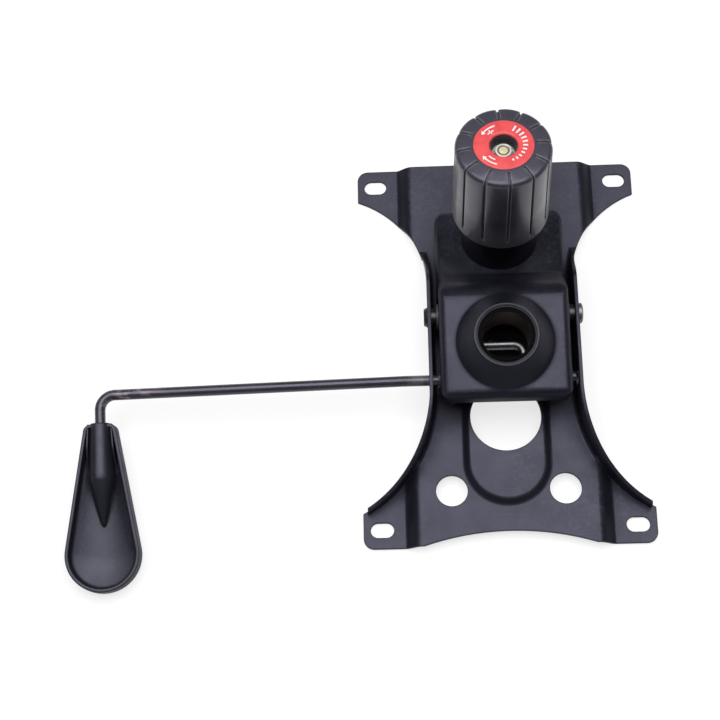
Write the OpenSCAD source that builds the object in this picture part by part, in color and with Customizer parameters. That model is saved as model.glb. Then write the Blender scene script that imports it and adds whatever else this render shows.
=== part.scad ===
// Office chair tilt mechanism, lying on its seat face with the gas lift socket upward.
// X runs across the chair, Y toward its front edge and Z away from the seat. Millimetres.
// The origin is the centre of the four seat bolt slots, on the face that meets the seat.

/* [Seat plate] */
// Spacing of the seat slots across the chair
slot_pitch_x = 152.4; // [146:0.1:165]
// Spacing of the seat slots from rear to front
slot_pitch_y = 225; // [218:0.5:240]
// End-to-end length of a seat slot
slot_l = 14; // [10:0.5:16]
// Width of a seat slot
slot_w = 9; // [6:0.5:10]
// Metal beyond a slot's centre, both ways
ear_margin = 11.3; // [10:0.1:14]
// Radius of the ears' outer corners
ear_corner_r = 6.5; // [3:0.5:9]
// Sheet thickness of the plate
plate_t = 2; // [1.6:0.1:2.4]
// Rise of the middle panel above the ears
panel_rise = 6; // [5:0.5:7]
// Half width of the flat middle panel
panel_half = 52.5; // [50:0.5:54]
// Width of the bend that joins panel and ear
joggle_w = 10; // [8:0.5:11]
// Radius of the large window behind the housing
window_r = 21.4; // [15:0.1:22]
// Place of the window's centre
window_y = -46; // [-50:0.5:-44]
// Radius of the two rear relief holes
relief_r = 9.5; // [6:0.5:9.5]
// Distance of the relief holes from the middle
relief_x = 34; // [34:0.5:36]
// Place of the relief holes
relief_y = -90.7; // [-94:0.1:-90]
// Depth of the arch in the rear edge
arch_depth = 8.1; // [4:0.1:10]

/* [Side flanges] */
// Gap between a flange and the housing's side
flange_gap = 4.75; // [4:0.05:6.5]
// Where the straight waist ends toward the rear
waist_rear = -33; // [-36:0.5:-30]
// Where the straight waist ends toward the front
waist_front = 42; // [38:0.5:46]
// Radius of the sweep from the waist to a rear ear
rear_sweep_r = 78; // [74:0.5:82]
// Radius of the sweep from the waist to a front ear
front_sweep_r = 65; // [62:0.5:68]
// Height of the flanges at the waist, above the seat face
flange_top = 36.5; // [36:0.5:40]
// Height of the lip that is left of a flange at a rear ear
lip_h = 3.5; // [2:0.5:6]
// Where the flanges have run out into the panel toward the front
flange_front = 68; // [64:0.5:68]
// Inside radius of the flange bend
bend_r = 3; // [2:0.25:3.5]

/* [Embosses] */
// Height of the raised fields in the panel
emboss_h = 3; // [2:0.25:3]
// Width of an emboss's rounded wall
emboss_draft = 5.5; // [4.5:0.25:6]
// Half width of the rear emboss at its foot
emboss_half = 27.3; // [26.5:0.1:27.5]
// Rear end of the rear emboss
emboss_rear = -101.2; // [-103:0.1:-99]
// Front end of the rear emboss
emboss_front = 7; // [0:0.5:12]
// Radius of the round emboss over the tension bolt's head
bolt_emboss_r = 24; // [22:0.5:26]

/* [Pivot] */
// Place of the pivot axis from the slot centre, toward the front
pivot_y = 13.5; // [12:0.5:15]
// Height of the pivot axis above the seat face
pivot_z = 26; // [26:0.5:27]
// Radius of the pivot axle
axle_r = 4.75; // [4:0.05:5]
// Radius of the axle's heads
axle_head_r = 6.2; // [5.8:0.1:7]
// Thickness of an axle head
axle_head_t = 2.2; // [1.5:0.1:3]
// Full tilt of the housing against the plate
tilt_max = 12; // [8:0.5:12]

/* [Housing] */
// Angle between the gas lift axis and the seat plate's normal at rest
seat_pitch = 5; // [3:0.5:6]
// Sheet thickness of the housing
shell_t = 2.5; // [2:0.1:3]
// Half width of the housing
housing_half = 38.75; // [36:0.25:41]
// How far the housing's low front stands out beyond its sides
front_flare = 0.75; // [0:0.05:1.5]
// Height of the housing's face above the pivot axis
face_h = 23; // [22:0.5:25]
// Reach of the housing behind the pivot axis
rear_reach = 55.7; // [54:0.1:57]
// Where the face ends and the ramp starts, ahead of the pivot axis
face_fwd = 11.9; // [9:0.1:12]
// Where the ramp ends, ahead of the pivot axis
ramp_fwd = 25.4; // [24:0.1:27]
// Front end of the housing, ahead of the pivot axis
front_fwd = 70.1; // [69:0.1:74]
// Radius of the pan's edges
edge_r = 5; // [4:0.25:5.5]
// Radius of the soft crest where the face rolls over into the ramp
crest_r = 19; // [16:0.5:24]
// Radius of the low front's edges
front_edge_r = 3.5; // [3.2:0.1:4]
// Plan radius of the front corners
front_corner = 8; // [6:0.5:10]
// Height of the rear wall
rear_wall_h = 14; // [13:0.5:15]
// Depth of the front skirt below the pivot axis
skirt_drop = 15; // [12:0.5:15]

/* [Gas lift socket] */
// Distance of the gas lift axis behind the pivot axis
socket_back = 22.1; // [21:0.1:23]
// Radius of the drawn collar at its foot
collar_base_r = 29.5; // [28:0.25:30]
// Radius of the collar at its rim
collar_rim_r = 19.2; // [18.8:0.1:20]
// Height of the collar above the housing's face
collar_h = 16; // [14:0.5:18]
// Outer radius of the socket tube
tube_r = 17.6; // [16.8:0.1:17.6]
// Radius of the cylindrical mouth of the bore
bore_r = 14.2; // [13.5:0.05:14.4]
// Length of the cylindrical mouth of the bore
bore_land = 12; // [8:0.5:14]
// Half angle of the taper beyond the mouth
taper_angle = 1.43; // [1:0.01:1.5]
// Length of the socket tube
tube_l = 29; // [27:0.5:29.5]

/* [Tension unit] */
// Place of the spring unit's axis ahead of the pivot axis, on the housing's front
unit_fwd = 50.1; // [49.5:0.1:51]
// Height of that place, against the pivot axis
unit_h = -2.4; // [-3:0.1:-2]
// Forward lean of the spring unit against the gas lift axis
unit_lean = 16; // [15:0.5:17]
// Radius of the tension bolt
bolt_r = 5; // [4.5:0.1:5]
// Radius of the bolt head's domed seat
dome_r = 13; // [12.5:0.1:13.5]
// Edge radius of the bolt head
head_r = 10; // [9.5:0.1:10.5]
// Outer radius of the spring sleeve
sleeve_r = 23.2; // [22.5:0.1:23.5]
// Height of the spring sleeve
sleeve_h = 46; // [40:0.5:48]
// Wall of the spring sleeve
sleeve_wall = 2; // [1.5:0.1:2.2]
// Outer radius of the tension spring
spring_r = 18.6; // [17:0.1:19]
// Wire radius of the tension spring
wire_r = 2.6; // [2:0.1:2.8]
// Curls of the tension spring
spring_curls = 8; // [6:0.5:9]
// Gap between the housing's front and the knob's rim at rest
knob_gap = 30.6; // [28:0.2:33]
// Height of the knob
knob_h = 63; // [60:0.5:66]
// Radius of the knob at its rim
knob_r = 28.8; // [28.4:0.1:30]
// Radius of the knob at its top
knob_top_r = 28; // [27.4:0.1:28.4]
// Wall of the knob
knob_wall = 3; // [2.4:0.1:3.2]
// Grip grooves around the knob
grooves = 12; // [8:1:16]
// Width of a grip groove
groove_w = 2.2; // [1.5:0.1:3]
// Depth of a grip groove
groove_d = 1.1; // [0.6:0.1:1.5]
// Radius of the label disc on the knob
label_r = 17.4; // [15:0.1:18.5]
// Radius of the hole in the knob's top
knob_hole_r = 8; // [7.5:0.1:9]
// Width across the flats of the knob's nut
nut_af = 17; // [16:0.5:17]
// Height of the knob's nut
nut_h = 8; // [7:0.5:9]
// Depth of the nut's face below the knob's top
nut_depth = 8; // [7:0.5:10]
// Knob travel from loosest to tightest
tension_travel = 12; // [8:0.5:12]

/* [Lever] */
// Distance of the lever rod behind the pivot axis
rod_back = 40; // [39.5:0.1:40.5]
// Height of the lever rod above the pivot axis
rod_h = 2.5; // [2:0.1:3]
// Radius of the lever rod
rod_r = 3.25; // [3:0.05:3.4]
// Radius of the rod's bends, on its centre line
rod_bend_r = 6.5; // [6:0.1:7]
// Place of the handle's leg across the chair
leg_x = -245; // [-260:0.5:-200]
// Slight set of the rod outside the housing, toward the chair's rear
rod_bow = 1.1; // [0:0.1:2]
// Radius of the bend into the handle
leg_bend_r = 9; // [8:0.5:14]
// Toe-in of the handle
handle_toe = 0.5; // [0:0.5:5]
// Left leg of the crank, pulled out
crank_left = -23.5; // [-24:0.25:-22]
// Right leg of the crank, pulled out
crank_right = 12; // [10:0.25:14]
// Reach of the crank from the rod's axis
crank_reach = 20.6; // [19.5:0.1:21]
// Push-in travel of the lever
push_travel = 10; // [6:0.5:10]
// Bare length of the rod's leg above the handle
handle_start = 8.2; // [6:0.2:14]
// Length of the handle
handle_l = 101.5; // [95:0.5:110]
// Greatest width of the handle
handle_w = 45.5; // [42:0.5:50]
// Width of the handle's neck
handle_neck_w = 22; // [20:0.5:24]
// Thickness of the handle
handle_t = 11; // [10:0.5:12]
// Wall of the handle's rim and pan
handle_wall = 2.6; // [2:0.1:3]
// Radius of the handle's socket at its mouth
boss_r = 6.9; // [6.5:0.1:7.5]
// Radius of the socket where it starts to run out
boss_end_r = 8.2; // [7.8:0.1:8.8]

/* [Clearances] */
// Running clearance of a shaft in its bore, on the radius
run_gap = 0.06; // [0.03:0.01:0.09]
// Seating clearance between pieces fixed together
seat_gap = 0.05; // [0.03:0.01:0.1]
// Clearance between pieces that move past each other
move_gap = 0.5; // [0.4:0.05:0.7]
// Clearance around the rod in the flange slots
slot_gap = 1; // [0.8:0.1:1.2]

/* [Hidden] */
$fn = 96;
over = 1;
far = 400;

// Seat plate
front_half = housing_half + front_flare;
waist_half = housing_half + flange_gap + plate_t;
ear_x = slot_pitch_x / 2 + ear_margin;
ear_y = slot_pitch_y / 2 + ear_margin;
panel_top = panel_rise + plate_t;
joggle_out = panel_half + joggle_w;
joggle_steps = 10;
arch_inset = 1.2;
arch_half = panel_half - arch_inset;
arch_r = (arch_half * arch_half + arch_depth * arch_depth) / (2 * arch_depth);
ear_notch = 3;
profile_steps = 14;
waist_flat = 20;
flat_front = pivot_y + waist_flat;
run_out = panel_rise + plate_t / 2;
bend_share = 0.75;
bend_front = flat_front + bend_share * (flange_front - flat_front);
field_steps = 7;
emboss_slope = atan2(emboss_h, emboss_draft);
emboss_in = plate_t * tan(emboss_slope / 2);
flange_in = waist_half - plate_t;

// Pivot
axle_hole_r = axle_r + seat_gap;
bush_wall = 1.9;
bush_r = axle_r + bush_wall;
bush_collar_t = 1.4;
bush_flange = 1.4;
bush_collar_r = bush_r + bush_flange;
spacer_wall = 1;
spacer_r = axle_r + spacer_wall;
cap_t = 3;
cap_wall = 1.6;

// Housing, measured from the pivot axis
ramp_h = unit_h + (unit_fwd - ramp_fwd) * tan(unit_lean);
ramp_angle = atan2(face_h - ramp_h, ramp_fwd - face_fwd);
pan_foot = -skirt_drop - 2 * edge_r;
rear_wall_foot = face_h - rear_wall_h;
rod_lug_r = 7.6;
pivot_lug_r = 11.5;
lug_steps = 9;
rod_lug_arc = [150, 350];
pivot_lug_arc = [190, 300];
front_lap = 15;
front_start = ramp_fwd - front_lap;
crest_steps = 12;
pan_corner_extra = 1;
pan_corner = edge_r + pan_corner_extra;

// Bumper, set so that it meets the panel at full tilt
stop_r = 4;
stop_x = shell_t + stop_r + move_gap - housing_half;
stop_head_r = 2.9;
stop_y = shell_t + stop_head_r + move_gap - rear_reach;
stop_neck_r = 2;
stop_head_t = 1.6;
stop_tab_half = 5.5;
full_tilt = seat_pitch + tilt_max;
stop_foot = (panel_top + move_gap - pivot_z - (stop_y - stop_r) * sin(full_tilt)) / cos(full_tilt);

// Gas lift socket
rim_h = face_h + collar_h;
socket_hole_r = tube_r + seat_gap;
mouth_lip = 0.8;
mouth_r = tube_r - mouth_lip;
mouth_d = 3;
rim_edge = 0.8;
fillet_steps = 6;

// Tension unit, measured along its own axis from the housing's front
unit_world_lean = unit_lean - seat_pitch;
unit_world_y = pivot_y + unit_fwd * cos(seat_pitch) - unit_h * sin(seat_pitch);
unit_world_z = pivot_z + unit_fwd * sin(seat_pitch) + unit_h * cos(seat_pitch);
bolt_slot_gap = 1.4;
bolt_slot_half = bolt_r + bolt_slot_gap;
head_under = panel_rise + emboss_h;
dome_drop = sqrt(pow(dome_r + move_gap, 2) - pow(bolt_slot_half, 2));
dome_z = head_under - dome_drop;
dome_s = (dome_z - unit_world_z) / cos(unit_world_lean);
dome_y = unit_world_y + dome_s * sin(unit_world_lean);
dome_edge = sqrt(dome_r * dome_r - head_r * head_r);
head_rim = 1.2;
neck_gap = 0.8;
neck_half = (bolt_slot_half - neck_gap) / sqrt(2);
neck_l = 5;
bolt_stick = 1.4;
bolt_top = knob_gap + knob_h - nut_depth + bolt_stick;
// The dome's centre keeps its height, so tilting draws the bolt in by this much
dome_fwd = dome_y - pivot_y;
dome_low = dome_z - pivot_z;
bolt_draw = (dome_fwd * sin(tilt_max) + dome_low * (cos(tilt_max) - 1)) / cos(unit_world_lean - tilt_max);
dome_shift = dome_fwd * (cos(tilt_max) - 1) - dome_low * sin(tilt_max)
    - bolt_draw * sin(unit_world_lean - tilt_max);
bolt_slot_y = dome_y + dome_shift / 2;
sleeve_floor = 1.5;
seat_t = 2;
seat_low = sleeve_floor + seat_gap;
seat_high = seat_low + seat_t;
washer_t = 2;
nut_high = knob_gap + knob_h - nut_depth;
nut_low = nut_high - nut_h;
washer_high = nut_low - seat_gap;
washer_low = washer_high - washer_t;
washer_rim = 0.4;
washer_r = spring_r + washer_rim;
nut_r = nut_af / 2 / cos(30);
nut_lip = 1.8;
nut_hole_r = nut_af / 2 - nut_lip;
knob_boss_wall = 3.2;
knob_boss_r = nut_r + knob_boss_wall;
knob_top = knob_gap + knob_h;
knob_edge = 3;
knob_edge_turn = 80;
groove_clear = 5.7;
groove_margin = 1.5;
knob_dish = 0.8;
label_t = 1.2;
label_sink = 1;
label_roll = 1.5;
roof_extra = 1.5;
cavity_top = knob_top - nut_depth + roof_extra;
spring_turn_rings = 8;
spring_sides = 6;
spring_mean_r = spring_r - wire_r;
spring_low = seat_high + wire_r + seat_gap;
spring_high = washer_low - wire_r - seat_gap;

// Lever, measured from the rod's axis
rod_stick = 3.5;
rod_end = housing_half + rod_stick;
rod_bush_wall = 1.2;
rod_bush_r = rod_r + run_gap + rod_bush_wall;
rod_bush_collar_r = rod_bush_r + bush_flange;
wall_in = housing_half - shell_t;
collar_w = 4.5;
collar_r = 5.2;
rod_y = pivot_y - rod_back * cos(seat_pitch) - rod_h * sin(seat_pitch);
rod_z = pivot_z - rod_back * sin(seat_pitch) + rod_h * cos(seat_pitch);
rod_radius = sqrt(rod_back * rod_back + rod_h * rod_h);
rod_angle = atan2(-rod_back, -rod_h) + seat_pitch;
bow_clear = 6;
bow_x = -waist_half - push_travel - bow_clear;
leg_in_handle = 38;
leg_l = handle_start + leg_in_handle;
leg_r = rod_r - seat_gap;
handle_end_r = handle_w / 2;
handle_tip = handle_start + handle_l;
handle_round = handle_tip - handle_end_r;
handle_set = 0.6;
handle_low = -handle_t * handle_set;
handle_edge = 2.5;
handle_cap = 0.7;
boss_l = 65;
boss_straight = 34;
boss_tip_r = 1.5;
boss_dive = atan2(-handle_low - handle_wall, boss_l - boss_straight);
// The lever hangs until its handle lies on the surface under the plate
tip_reach = (bow_x - leg_x) * sin(rod_bow) + leg_bend_r * (1 + sin(handle_toe))
    + handle_tip - handle_edge;
tip_span = sqrt(tip_reach * tip_reach + handle_low * handle_low);
lever_droop = asin((rod_z - move_gap) / tip_span) - atan2(-handle_low, tip_reach);

// Smooth step from 0 to 1
function ease(t) = t <= 0 ? 0 : t >= 1 ? 1 : t * t * (3 - 2 * t);
// Slope of that step
function ease_slope(t) = t <= 0 || t >= 1 ? 0 : 6 * t * (1 - t);
// Height of the sheet's underside at a distance from the middle
function sheet_low(x) = panel_rise * ease((joggle_out - abs(x)) / joggle_w);
// Tilt of the sheet there
function sheet_tilt(x) =
    -sign(x) * atan(panel_rise / joggle_w * ease_slope((joggle_out - abs(x)) / joggle_w));
// Points of an arc about the origin
function arc(r, from, to, steps) =
    [for (i = [0:steps]) let (a = from + (to - from) * i / steps) [r * cos(a), r * sin(a)]];
function moved(points, by) = [for (p = points) p + by];

joggle_x = [for (i = [0:joggle_steps]) panel_half + joggle_w * i / joggle_steps];
sheet_x = concat([for (i = [joggle_steps:-1:0]) -joggle_x[i]], joggle_x);
sheet_under = concat([[-ear_x, 0]], [for (x = sheet_x) [x, sheet_low(x)]], [[ear_x, 0]]);
sheet_over = concat([[-ear_x, plate_t]],
    [for (x = sheet_x) [x - plate_t * sin(sheet_tilt(x)), sheet_low(x) + plate_t * cos(sheet_tilt(x))]],
    [[ear_x, plate_t]]);

// Moves housing pieces from the pivot axis to their place
module housing_pose() {
    translate([0, pivot_y, pivot_z]) rotate([seat_pitch, 0, 0]) children();
}

// Moves pieces of the spring unit from its axis to their place
module unit_pose() {
    housing_pose() translate([0, unit_fwd, unit_h]) rotate([-unit_lean, 0, 0]) children();
}

// Moves lever pieces from the rod's axis to their place
module lever_pose() {
    translate([0, rod_y, rod_z]) rotate([lever_droop, 0, 0]) children();
}

// Extrudes a profile drawn in Y and Z across the chair
module across(half) {
    rotate([90, 0, 90]) linear_extrude(height = 2 * half, center = true) children();
}

// Extrudes a profile drawn in X and Z from rear to front
module along(half) {
    rotate([90, 0, 0]) linear_extrude(height = 2 * half, center = true) children();
}

// A round bar across the chair from one X to another
module cross_bar(r, from, to) {
    translate([from, 0, 0]) rotate([0, 90, 0]) cylinder(h = to - from, r = r);
}

// Both sides of the plate
module both_sides() {
    children();
    mirror([1, 0, 0]) children();
}

// Sweeps a profile along the plate's side: X inboard from the flange's outer face, Y upward
module edge_sweep() {
    translate([waist_half + rear_sweep_r, waist_rear, 0]) rotate([0, 0, 180])
        rotate_extrude(angle = 90) translate([rear_sweep_r, 0]) children();
    translate([waist_half + front_sweep_r, waist_front, 0]) rotate([0, 0, 90])
        rotate_extrude(angle = 90) translate([front_sweep_r, 0]) children();
    translate([0, (waist_front + waist_rear) / 2, 0]) along((waist_front - waist_rear) / 2)
        translate([waist_half, 0]) mirror([1, 0]) children();
}

// Everything outside the flanges, in plan
module waist_cut() {
    both_sides() {
        translate([waist_half + rear_sweep_r, waist_rear]) circle(rear_sweep_r);
        translate([waist_half + front_sweep_r, waist_front]) circle(front_sweep_r);
        translate([waist_half, waist_rear]) square([rear_sweep_r, waist_front - waist_rear]);
    }
}

// The plate's outline, seen from above
module plate_plan() {
    difference() {
        union() {
            square([2 * ear_x, 2 * (ear_y - ear_corner_r)], center = true);
            square([2 * (ear_x - ear_corner_r), 2 * ear_y], center = true);
            for (x = [-1, 1], y = [-1, 1])
                translate([x * (ear_x - ear_corner_r), y * (ear_y - ear_corner_r)]) circle(ear_corner_r);
        }
        waist_cut();
        translate([0, arch_depth - ear_y - arch_r]) circle(arch_r);
    }
}

// Side view of the flanges: full height at the waist, a low lip at the rear ears, nothing at the front ears
module flange_profile() {
    lip_top = lip_h + plate_t;
    rear = [for (i = [0:profile_steps]) let (t = i / profile_steps)
        [-ear_y + t * (ear_y + waist_rear), lip_top + (flange_top - lip_top) * ease(t)]];
    front = [for (i = [0:profile_steps]) let (t = i / profile_steps)
        [flat_front + t * (flange_front - flat_front), flange_top - (flange_top - run_out) * ease(t)]];
    polygon(concat([[-ear_y, -over]], rear, front, [[flange_front, -over]]));
}

// A raised field: round ends joined by a bar, both with the same rounded wall
module raised_field(half, draft, h, from, to) {
    wall = [for (i = [0:field_steps]) let (t = i / field_steps) [half - draft * t, h * ease(t)]];
    for (y = [from, to]) translate([0, y, 0])
        rotate_extrude() polygon(concat([[0, 0]], wall, [[0, h]]));
    if (to > from)
        translate([0, (from + to) / 2, 0]) along((to - from) / 2)
            polygon(concat(wall, [for (i = [field_steps:-1:0]) [-wall[i][0], wall[i][1]]]));
}

// Both raised fields, shrunk by the sheet when seen from below
module raised_fields(inset) {
    raised_field(emboss_half - inset, emboss_draft, emboss_h,
        emboss_rear + emboss_half, emboss_front - emboss_half);
    translate([0, bolt_slot_y, 0])
        raised_field(bolt_emboss_r - inset, emboss_draft, emboss_h, 0, 0);
}

// A slot along X or Y with round ends
module long_hole(r, length, along_y) {
    rotate([0, 0, along_y ? 90 : 0]) {
        for (x = [-1, 1])
            translate([x * (length / 2 - r), 0, 0]) cylinder(h = far, r = r, center = true);
        cube([length - 2 * r, 2 * r, far], center = true);
    }
}

// The way of the lever rod through the flanges while the housing tilts
module tilt_slot() {
    r = rod_r + slot_gap;
    translate([0, pivot_y, pivot_z]) rotate([0, 90, 0]) {
        rotate([0, 0, rod_angle]) rotate_extrude(angle = tilt_max)
            translate([rod_radius, 0]) square([2 * r, far], center = true);
        for (a = [rod_angle, rod_angle + tilt_max])
            rotate([0, 0, a]) translate([rod_radius, 0, 0]) cylinder(h = far, r = r, center = true);
    }
}

module seat_plate() {
    bend_out = bend_r + plate_t;
    color("#2b2b31") difference() {
        union() {
            intersection() {
                along(ear_y)
                    polygon(concat(sheet_under, [for (i = [len(sheet_over) - 1:-1:0]) sheet_over[i]]));
                linear_extrude(height = flange_top) plate_plan();
            }
            difference() {
                intersection() {
                    both_sides() edge_sweep() square([plate_t, flange_top]);
                    across(ear_x - ear_notch) flange_profile();
                }
                along(ear_y) polygon(concat([[-ear_x, -over]], sheet_under, [[ear_x, -over]]));
            }
            // Inside radius where the flanges rise from the panel
            intersection() {
                both_sides() edge_sweep() translate([plate_t - over / 2, panel_top]) difference() {
                    square(bend_r + over / 2);
                    translate([bend_r + over / 2, bend_r]) circle(bend_r);
                }
                across(panel_half) flange_profile();
            }
            translate([0, 0, panel_top]) raised_fields(0);
        }
        // Outside radius of the same bend
        intersection() {
            both_sides() edge_sweep() translate([-over, panel_rise - over]) difference() {
                square(bend_out + over);
                translate([bend_out + over, bend_out + over]) circle(bend_out);
            }
            translate([-panel_half, -ear_y, -over]) cube([2 * panel_half, ear_y + bend_front, flange_top]);
        }
        translate([0, 0, panel_rise]) raised_fields(emboss_in);
        for (x = [-1, 1], y = [-1, 1])
            translate([x * slot_pitch_x / 2, y * slot_pitch_y / 2, 0])
                long_hole(slot_w / 2, slot_l, false);
        translate([0, window_y, 0]) cylinder(h = far, r = window_r, center = true);
        for (x = [-1, 1])
            translate([x * relief_x, relief_y, 0]) cylinder(h = far, r = relief_r, center = true);
        translate([0, bolt_slot_y, 0])
            long_hole(bolt_slot_half, 2 * bolt_slot_half + abs(dome_shift), true);
        translate([0, pivot_y, pivot_z]) cross_bar(axle_hole_r, -far, far);
        tilt_slot();
    }
}

module pivot_axle() {
    color("#303036") translate([0, pivot_y, pivot_z]) {
        cross_bar(axle_r, -waist_half - axle_head_t / 2, waist_half + cap_t - cap_wall - seat_gap);
        translate([-waist_half - seat_gap, 0, 0]) rotate([0, -90, 0])
            cylinder(h = axle_head_t, r1 = axle_head_r, r2 = axle_head_r - axle_head_t / 2);
    }
}

// Push-on cap on the axle's right end
module axle_cap() {
    color("silver") translate([waist_half + seat_gap, pivot_y, pivot_z]) rotate([0, 90, 0]) difference() {
        union() {
            cylinder(h = cap_t - cap_wall / 2, r = axle_head_r);
            translate([0, 0, cap_t - cap_wall / 2])
                cylinder(h = cap_wall / 2, r1 = axle_head_r, r2 = axle_r);
        }
        translate([0, 0, -over]) cylinder(h = cap_t - cap_wall + over, r = axle_r + seat_gap);
    }
}

// Steel spacer between a flange and the housing's bush
module pivot_spacer(side) {
    bush_face = housing_half + bush_collar_t;
    color("#8f9094") translate([0, pivot_y, pivot_z]) mirror([side < 0 ? 1 : 0, 0, 0]) difference() {
        cross_bar(spacer_r, bush_face + move_gap, flange_in - seat_gap);
        cross_bar(axle_r + seat_gap, 0, far);
    }
}
module pivot_spacer_left() pivot_spacer(-1);
module pivot_spacer_right() pivot_spacer(1);

// Cross-section of a slab with round upper edges, its top at height 0
module round_slab(half, r) {
    translate([-half, -far]) square([2 * half, far - r]);
    translate([r - half, -far]) square([2 * (half - r), far]);
    for (x = [-1, 1]) translate([x * (half - r), -r]) circle(r);
}

// A slab along a plane through a point in the side view, falling toward the front
module sloped_slab(half, r, at, fall) {
    translate([0, at[0], at[1]]) rotate([-fall, 0, 0]) along(far) round_slab(half, r);
}

// A plan outline with round corners at its two ends
module round_plan(half, rear, front, r) {
    translate([-half, rear + r]) square([2 * half, front - rear - 2 * r]);
    translate([r - half, rear]) square([2 * (half - r), front - rear]);
    for (x = [-1, 1], y = [rear + r, front - r]) translate([x * (half - r), y]) circle(r);
}

// The pan's box and ramp, shrunk all round by a skin thickness
module pan_body(skin) {
    half = housing_half - skin;
    r = edge_r - skin;
    crest = moved(arc(crest_r - skin, 90, 90 - ramp_angle, crest_steps),
        [face_fwd - crest_r * tan(ramp_angle / 2), face_h - crest_r]);
    heel = moved(arc(r, 180, 90, fillet_steps), [edge_r - rear_reach, face_h - edge_r]);
    toe = [ramp_fwd + (ramp_h - pan_foot) / tan(ramp_angle) - skin / sin(ramp_angle), pan_foot];
    intersection() {
        across(housing_half) polygon(concat([[skin - rear_reach, pan_foot]], heel, crest, [toe]));
        sloped_slab(half, r, [0, face_h - skin], 0);
        sloped_slab(half, r, [ramp_fwd, ramp_h] - skin * [sin(ramp_angle), cos(ramp_angle)], ramp_angle);
        translate([0, 0, pan_foot - over]) linear_extrude(height = far)
            round_plan(half, skin - rear_reach, far, pan_corner - skin);
    }
}

// The pan's low front, shrunk all round by a skin thickness
module front_body(skin) {
    half = front_half - skin;
    r = front_edge_r - skin;
    top = [unit_fwd, unit_h] - skin * [sin(unit_lean), cos(unit_lean)];
    nose = front_fwd - skin;
    nose_h = unit_h - (front_fwd - unit_fwd) * tan(unit_lean);
    start_h = top[1] + (top[0] - front_start) * tan(unit_lean);
    brow = moved(arc(r, 90 - unit_lean, 0, fillet_steps), [front_fwd - front_edge_r,
        nose_h + front_edge_r * tan(unit_lean) - front_edge_r / cos(unit_lean)]);
    intersection() {
        across(front_half)
            polygon(concat([[front_start, pan_foot], [front_start, start_h]], brow, [[nose, pan_foot]]));
        sloped_slab(half, r, top, unit_lean);
        translate([0, 0, pan_foot - over]) linear_extrude(height = far)
            round_plan(half, -far, nose, front_corner - skin);
    }
}

// Profile of the drawn collar, from inside the face to its rim
module collar_profile() {
    run = (collar_base_r - collar_rim_r) / (collar_h - rim_edge);
    low = face_h - shell_t;
    polygon([[0, low], [collar_base_r + shell_t * run, low], [collar_rim_r, rim_h - rim_edge],
        [collar_rim_r - rim_edge, rim_h], [0, rim_h]]);
}

// What is cut away under the walls: lugs stay around the rod and the pivot
module wall_foot() {
    rear_edge = shell_t + edge_r - rear_reach;
    rod_lug = moved(arc(rod_lug_r, rod_lug_arc[0], rod_lug_arc[1], lug_steps), [-rod_back, rod_h]);
    pivot_lug = arc(pivot_lug_r, pivot_lug_arc[0], pivot_lug_arc[1], lug_steps);
    polygon(concat([[-far, -far], [-far, rear_wall_foot], [rear_edge, rear_wall_foot]], rod_lug,
        pivot_lug, [[ramp_fwd, -skirt_drop], [far, -skirt_drop], [far, -far]]));
}

module tilt_housing() {
    color("#34343b") housing_pose() difference() {
        union() {
            difference() {
                union() {
                    pan_body(0);
                    front_body(0);
                    translate([0, -socket_back, 0]) rotate_extrude() collar_profile();
                }
                pan_body(shell_t);
                front_body(shell_t);
                across(far) wall_foot();
            }
            // Tab that carries the rubber stop
            translate([stop_x - stop_tab_half, shell_t / 2 - rear_reach, rear_wall_foot])
                cube([2 * stop_tab_half, stop_y + stop_tab_half + rear_reach - shell_t / 2, shell_t]);
        }
        translate([0, -socket_back, face_h - 2 * shell_t])
            cylinder(h = collar_h, r1 = collar_base_r - shell_t, r2 = socket_hole_r - over);
        translate([0, -socket_back, 0]) cylinder(h = far, r = socket_hole_r);
        cross_bar(bush_r + seat_gap, -far, far);
        translate([0, -rod_back, rod_h]) cross_bar(rod_bush_r + seat_gap, -far, far);
        translate([0, unit_fwd, unit_h]) rotate([-unit_lean, 0, 0])
            cylinder(h = far, r = bolt_r + move_gap, center = true);
        translate([stop_x, stop_y, rear_wall_foot - over])
            cylinder(h = shell_t + 2 * over, r = stop_neck_r + seat_gap);
    }
}

// Tapered tube that takes the gas lift's cone
module taper_socket() {
    foot = rim_h - tube_l;
    land_high = rim_h - mouth_d;
    land_low = land_high - bore_land;
    color("#6d675f") housing_pose() translate([0, -socket_back, 0]) rotate_extrude()
        polygon([[tube_r, foot], [tube_r, rim_h - rim_edge], [mouth_r, rim_h - rim_edge],
            [bore_r, land_high], [bore_r, land_low],
            [bore_r - (land_low - foot) * tan(taper_angle), foot]]);
}

// Flanged bush in a side wall of the housing
module wall_bush(side, r, bore, collar, collar_t) {
    mirror([side < 0 ? 1 : 0, 0, 0]) difference() {
        union() {
            cross_bar(r, wall_in, housing_half + collar_t);
            cross_bar(collar, housing_half + seat_gap, housing_half + collar_t);
        }
        cross_bar(bore, 0, far);
    }
}
module pivot_bush(side) {
    color("#d9d7cf") housing_pose()
        wall_bush(side, bush_r, axle_r + run_gap, bush_collar_r, bush_collar_t);
}
module pivot_bush_left() pivot_bush(-1);
module pivot_bush_right() pivot_bush(1);

module lever_bush(side) {
    color("#1d1d1f") lever_pose()
        wall_bush(side, rod_bush_r, rod_r + run_gap, rod_bush_collar_r, bush_collar_t);
}
module lever_bush_left() lever_bush(-1);
module lever_bush_right() lever_bush(1);

// Plastic cup that guides the spring on the housing's front
module spring_sleeve() {
    color("#141416") unit_pose() translate([0, 0, seat_gap]) difference() {
        cylinder(h = sleeve_h, r = sleeve_r);
        translate([0, 0, sleeve_floor - seat_gap]) cylinder(h = sleeve_h, r = sleeve_r - sleeve_wall);
        translate([0, 0, -over]) cylinder(h = sleeve_h, r = bolt_r + move_gap);
    }
}

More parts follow.
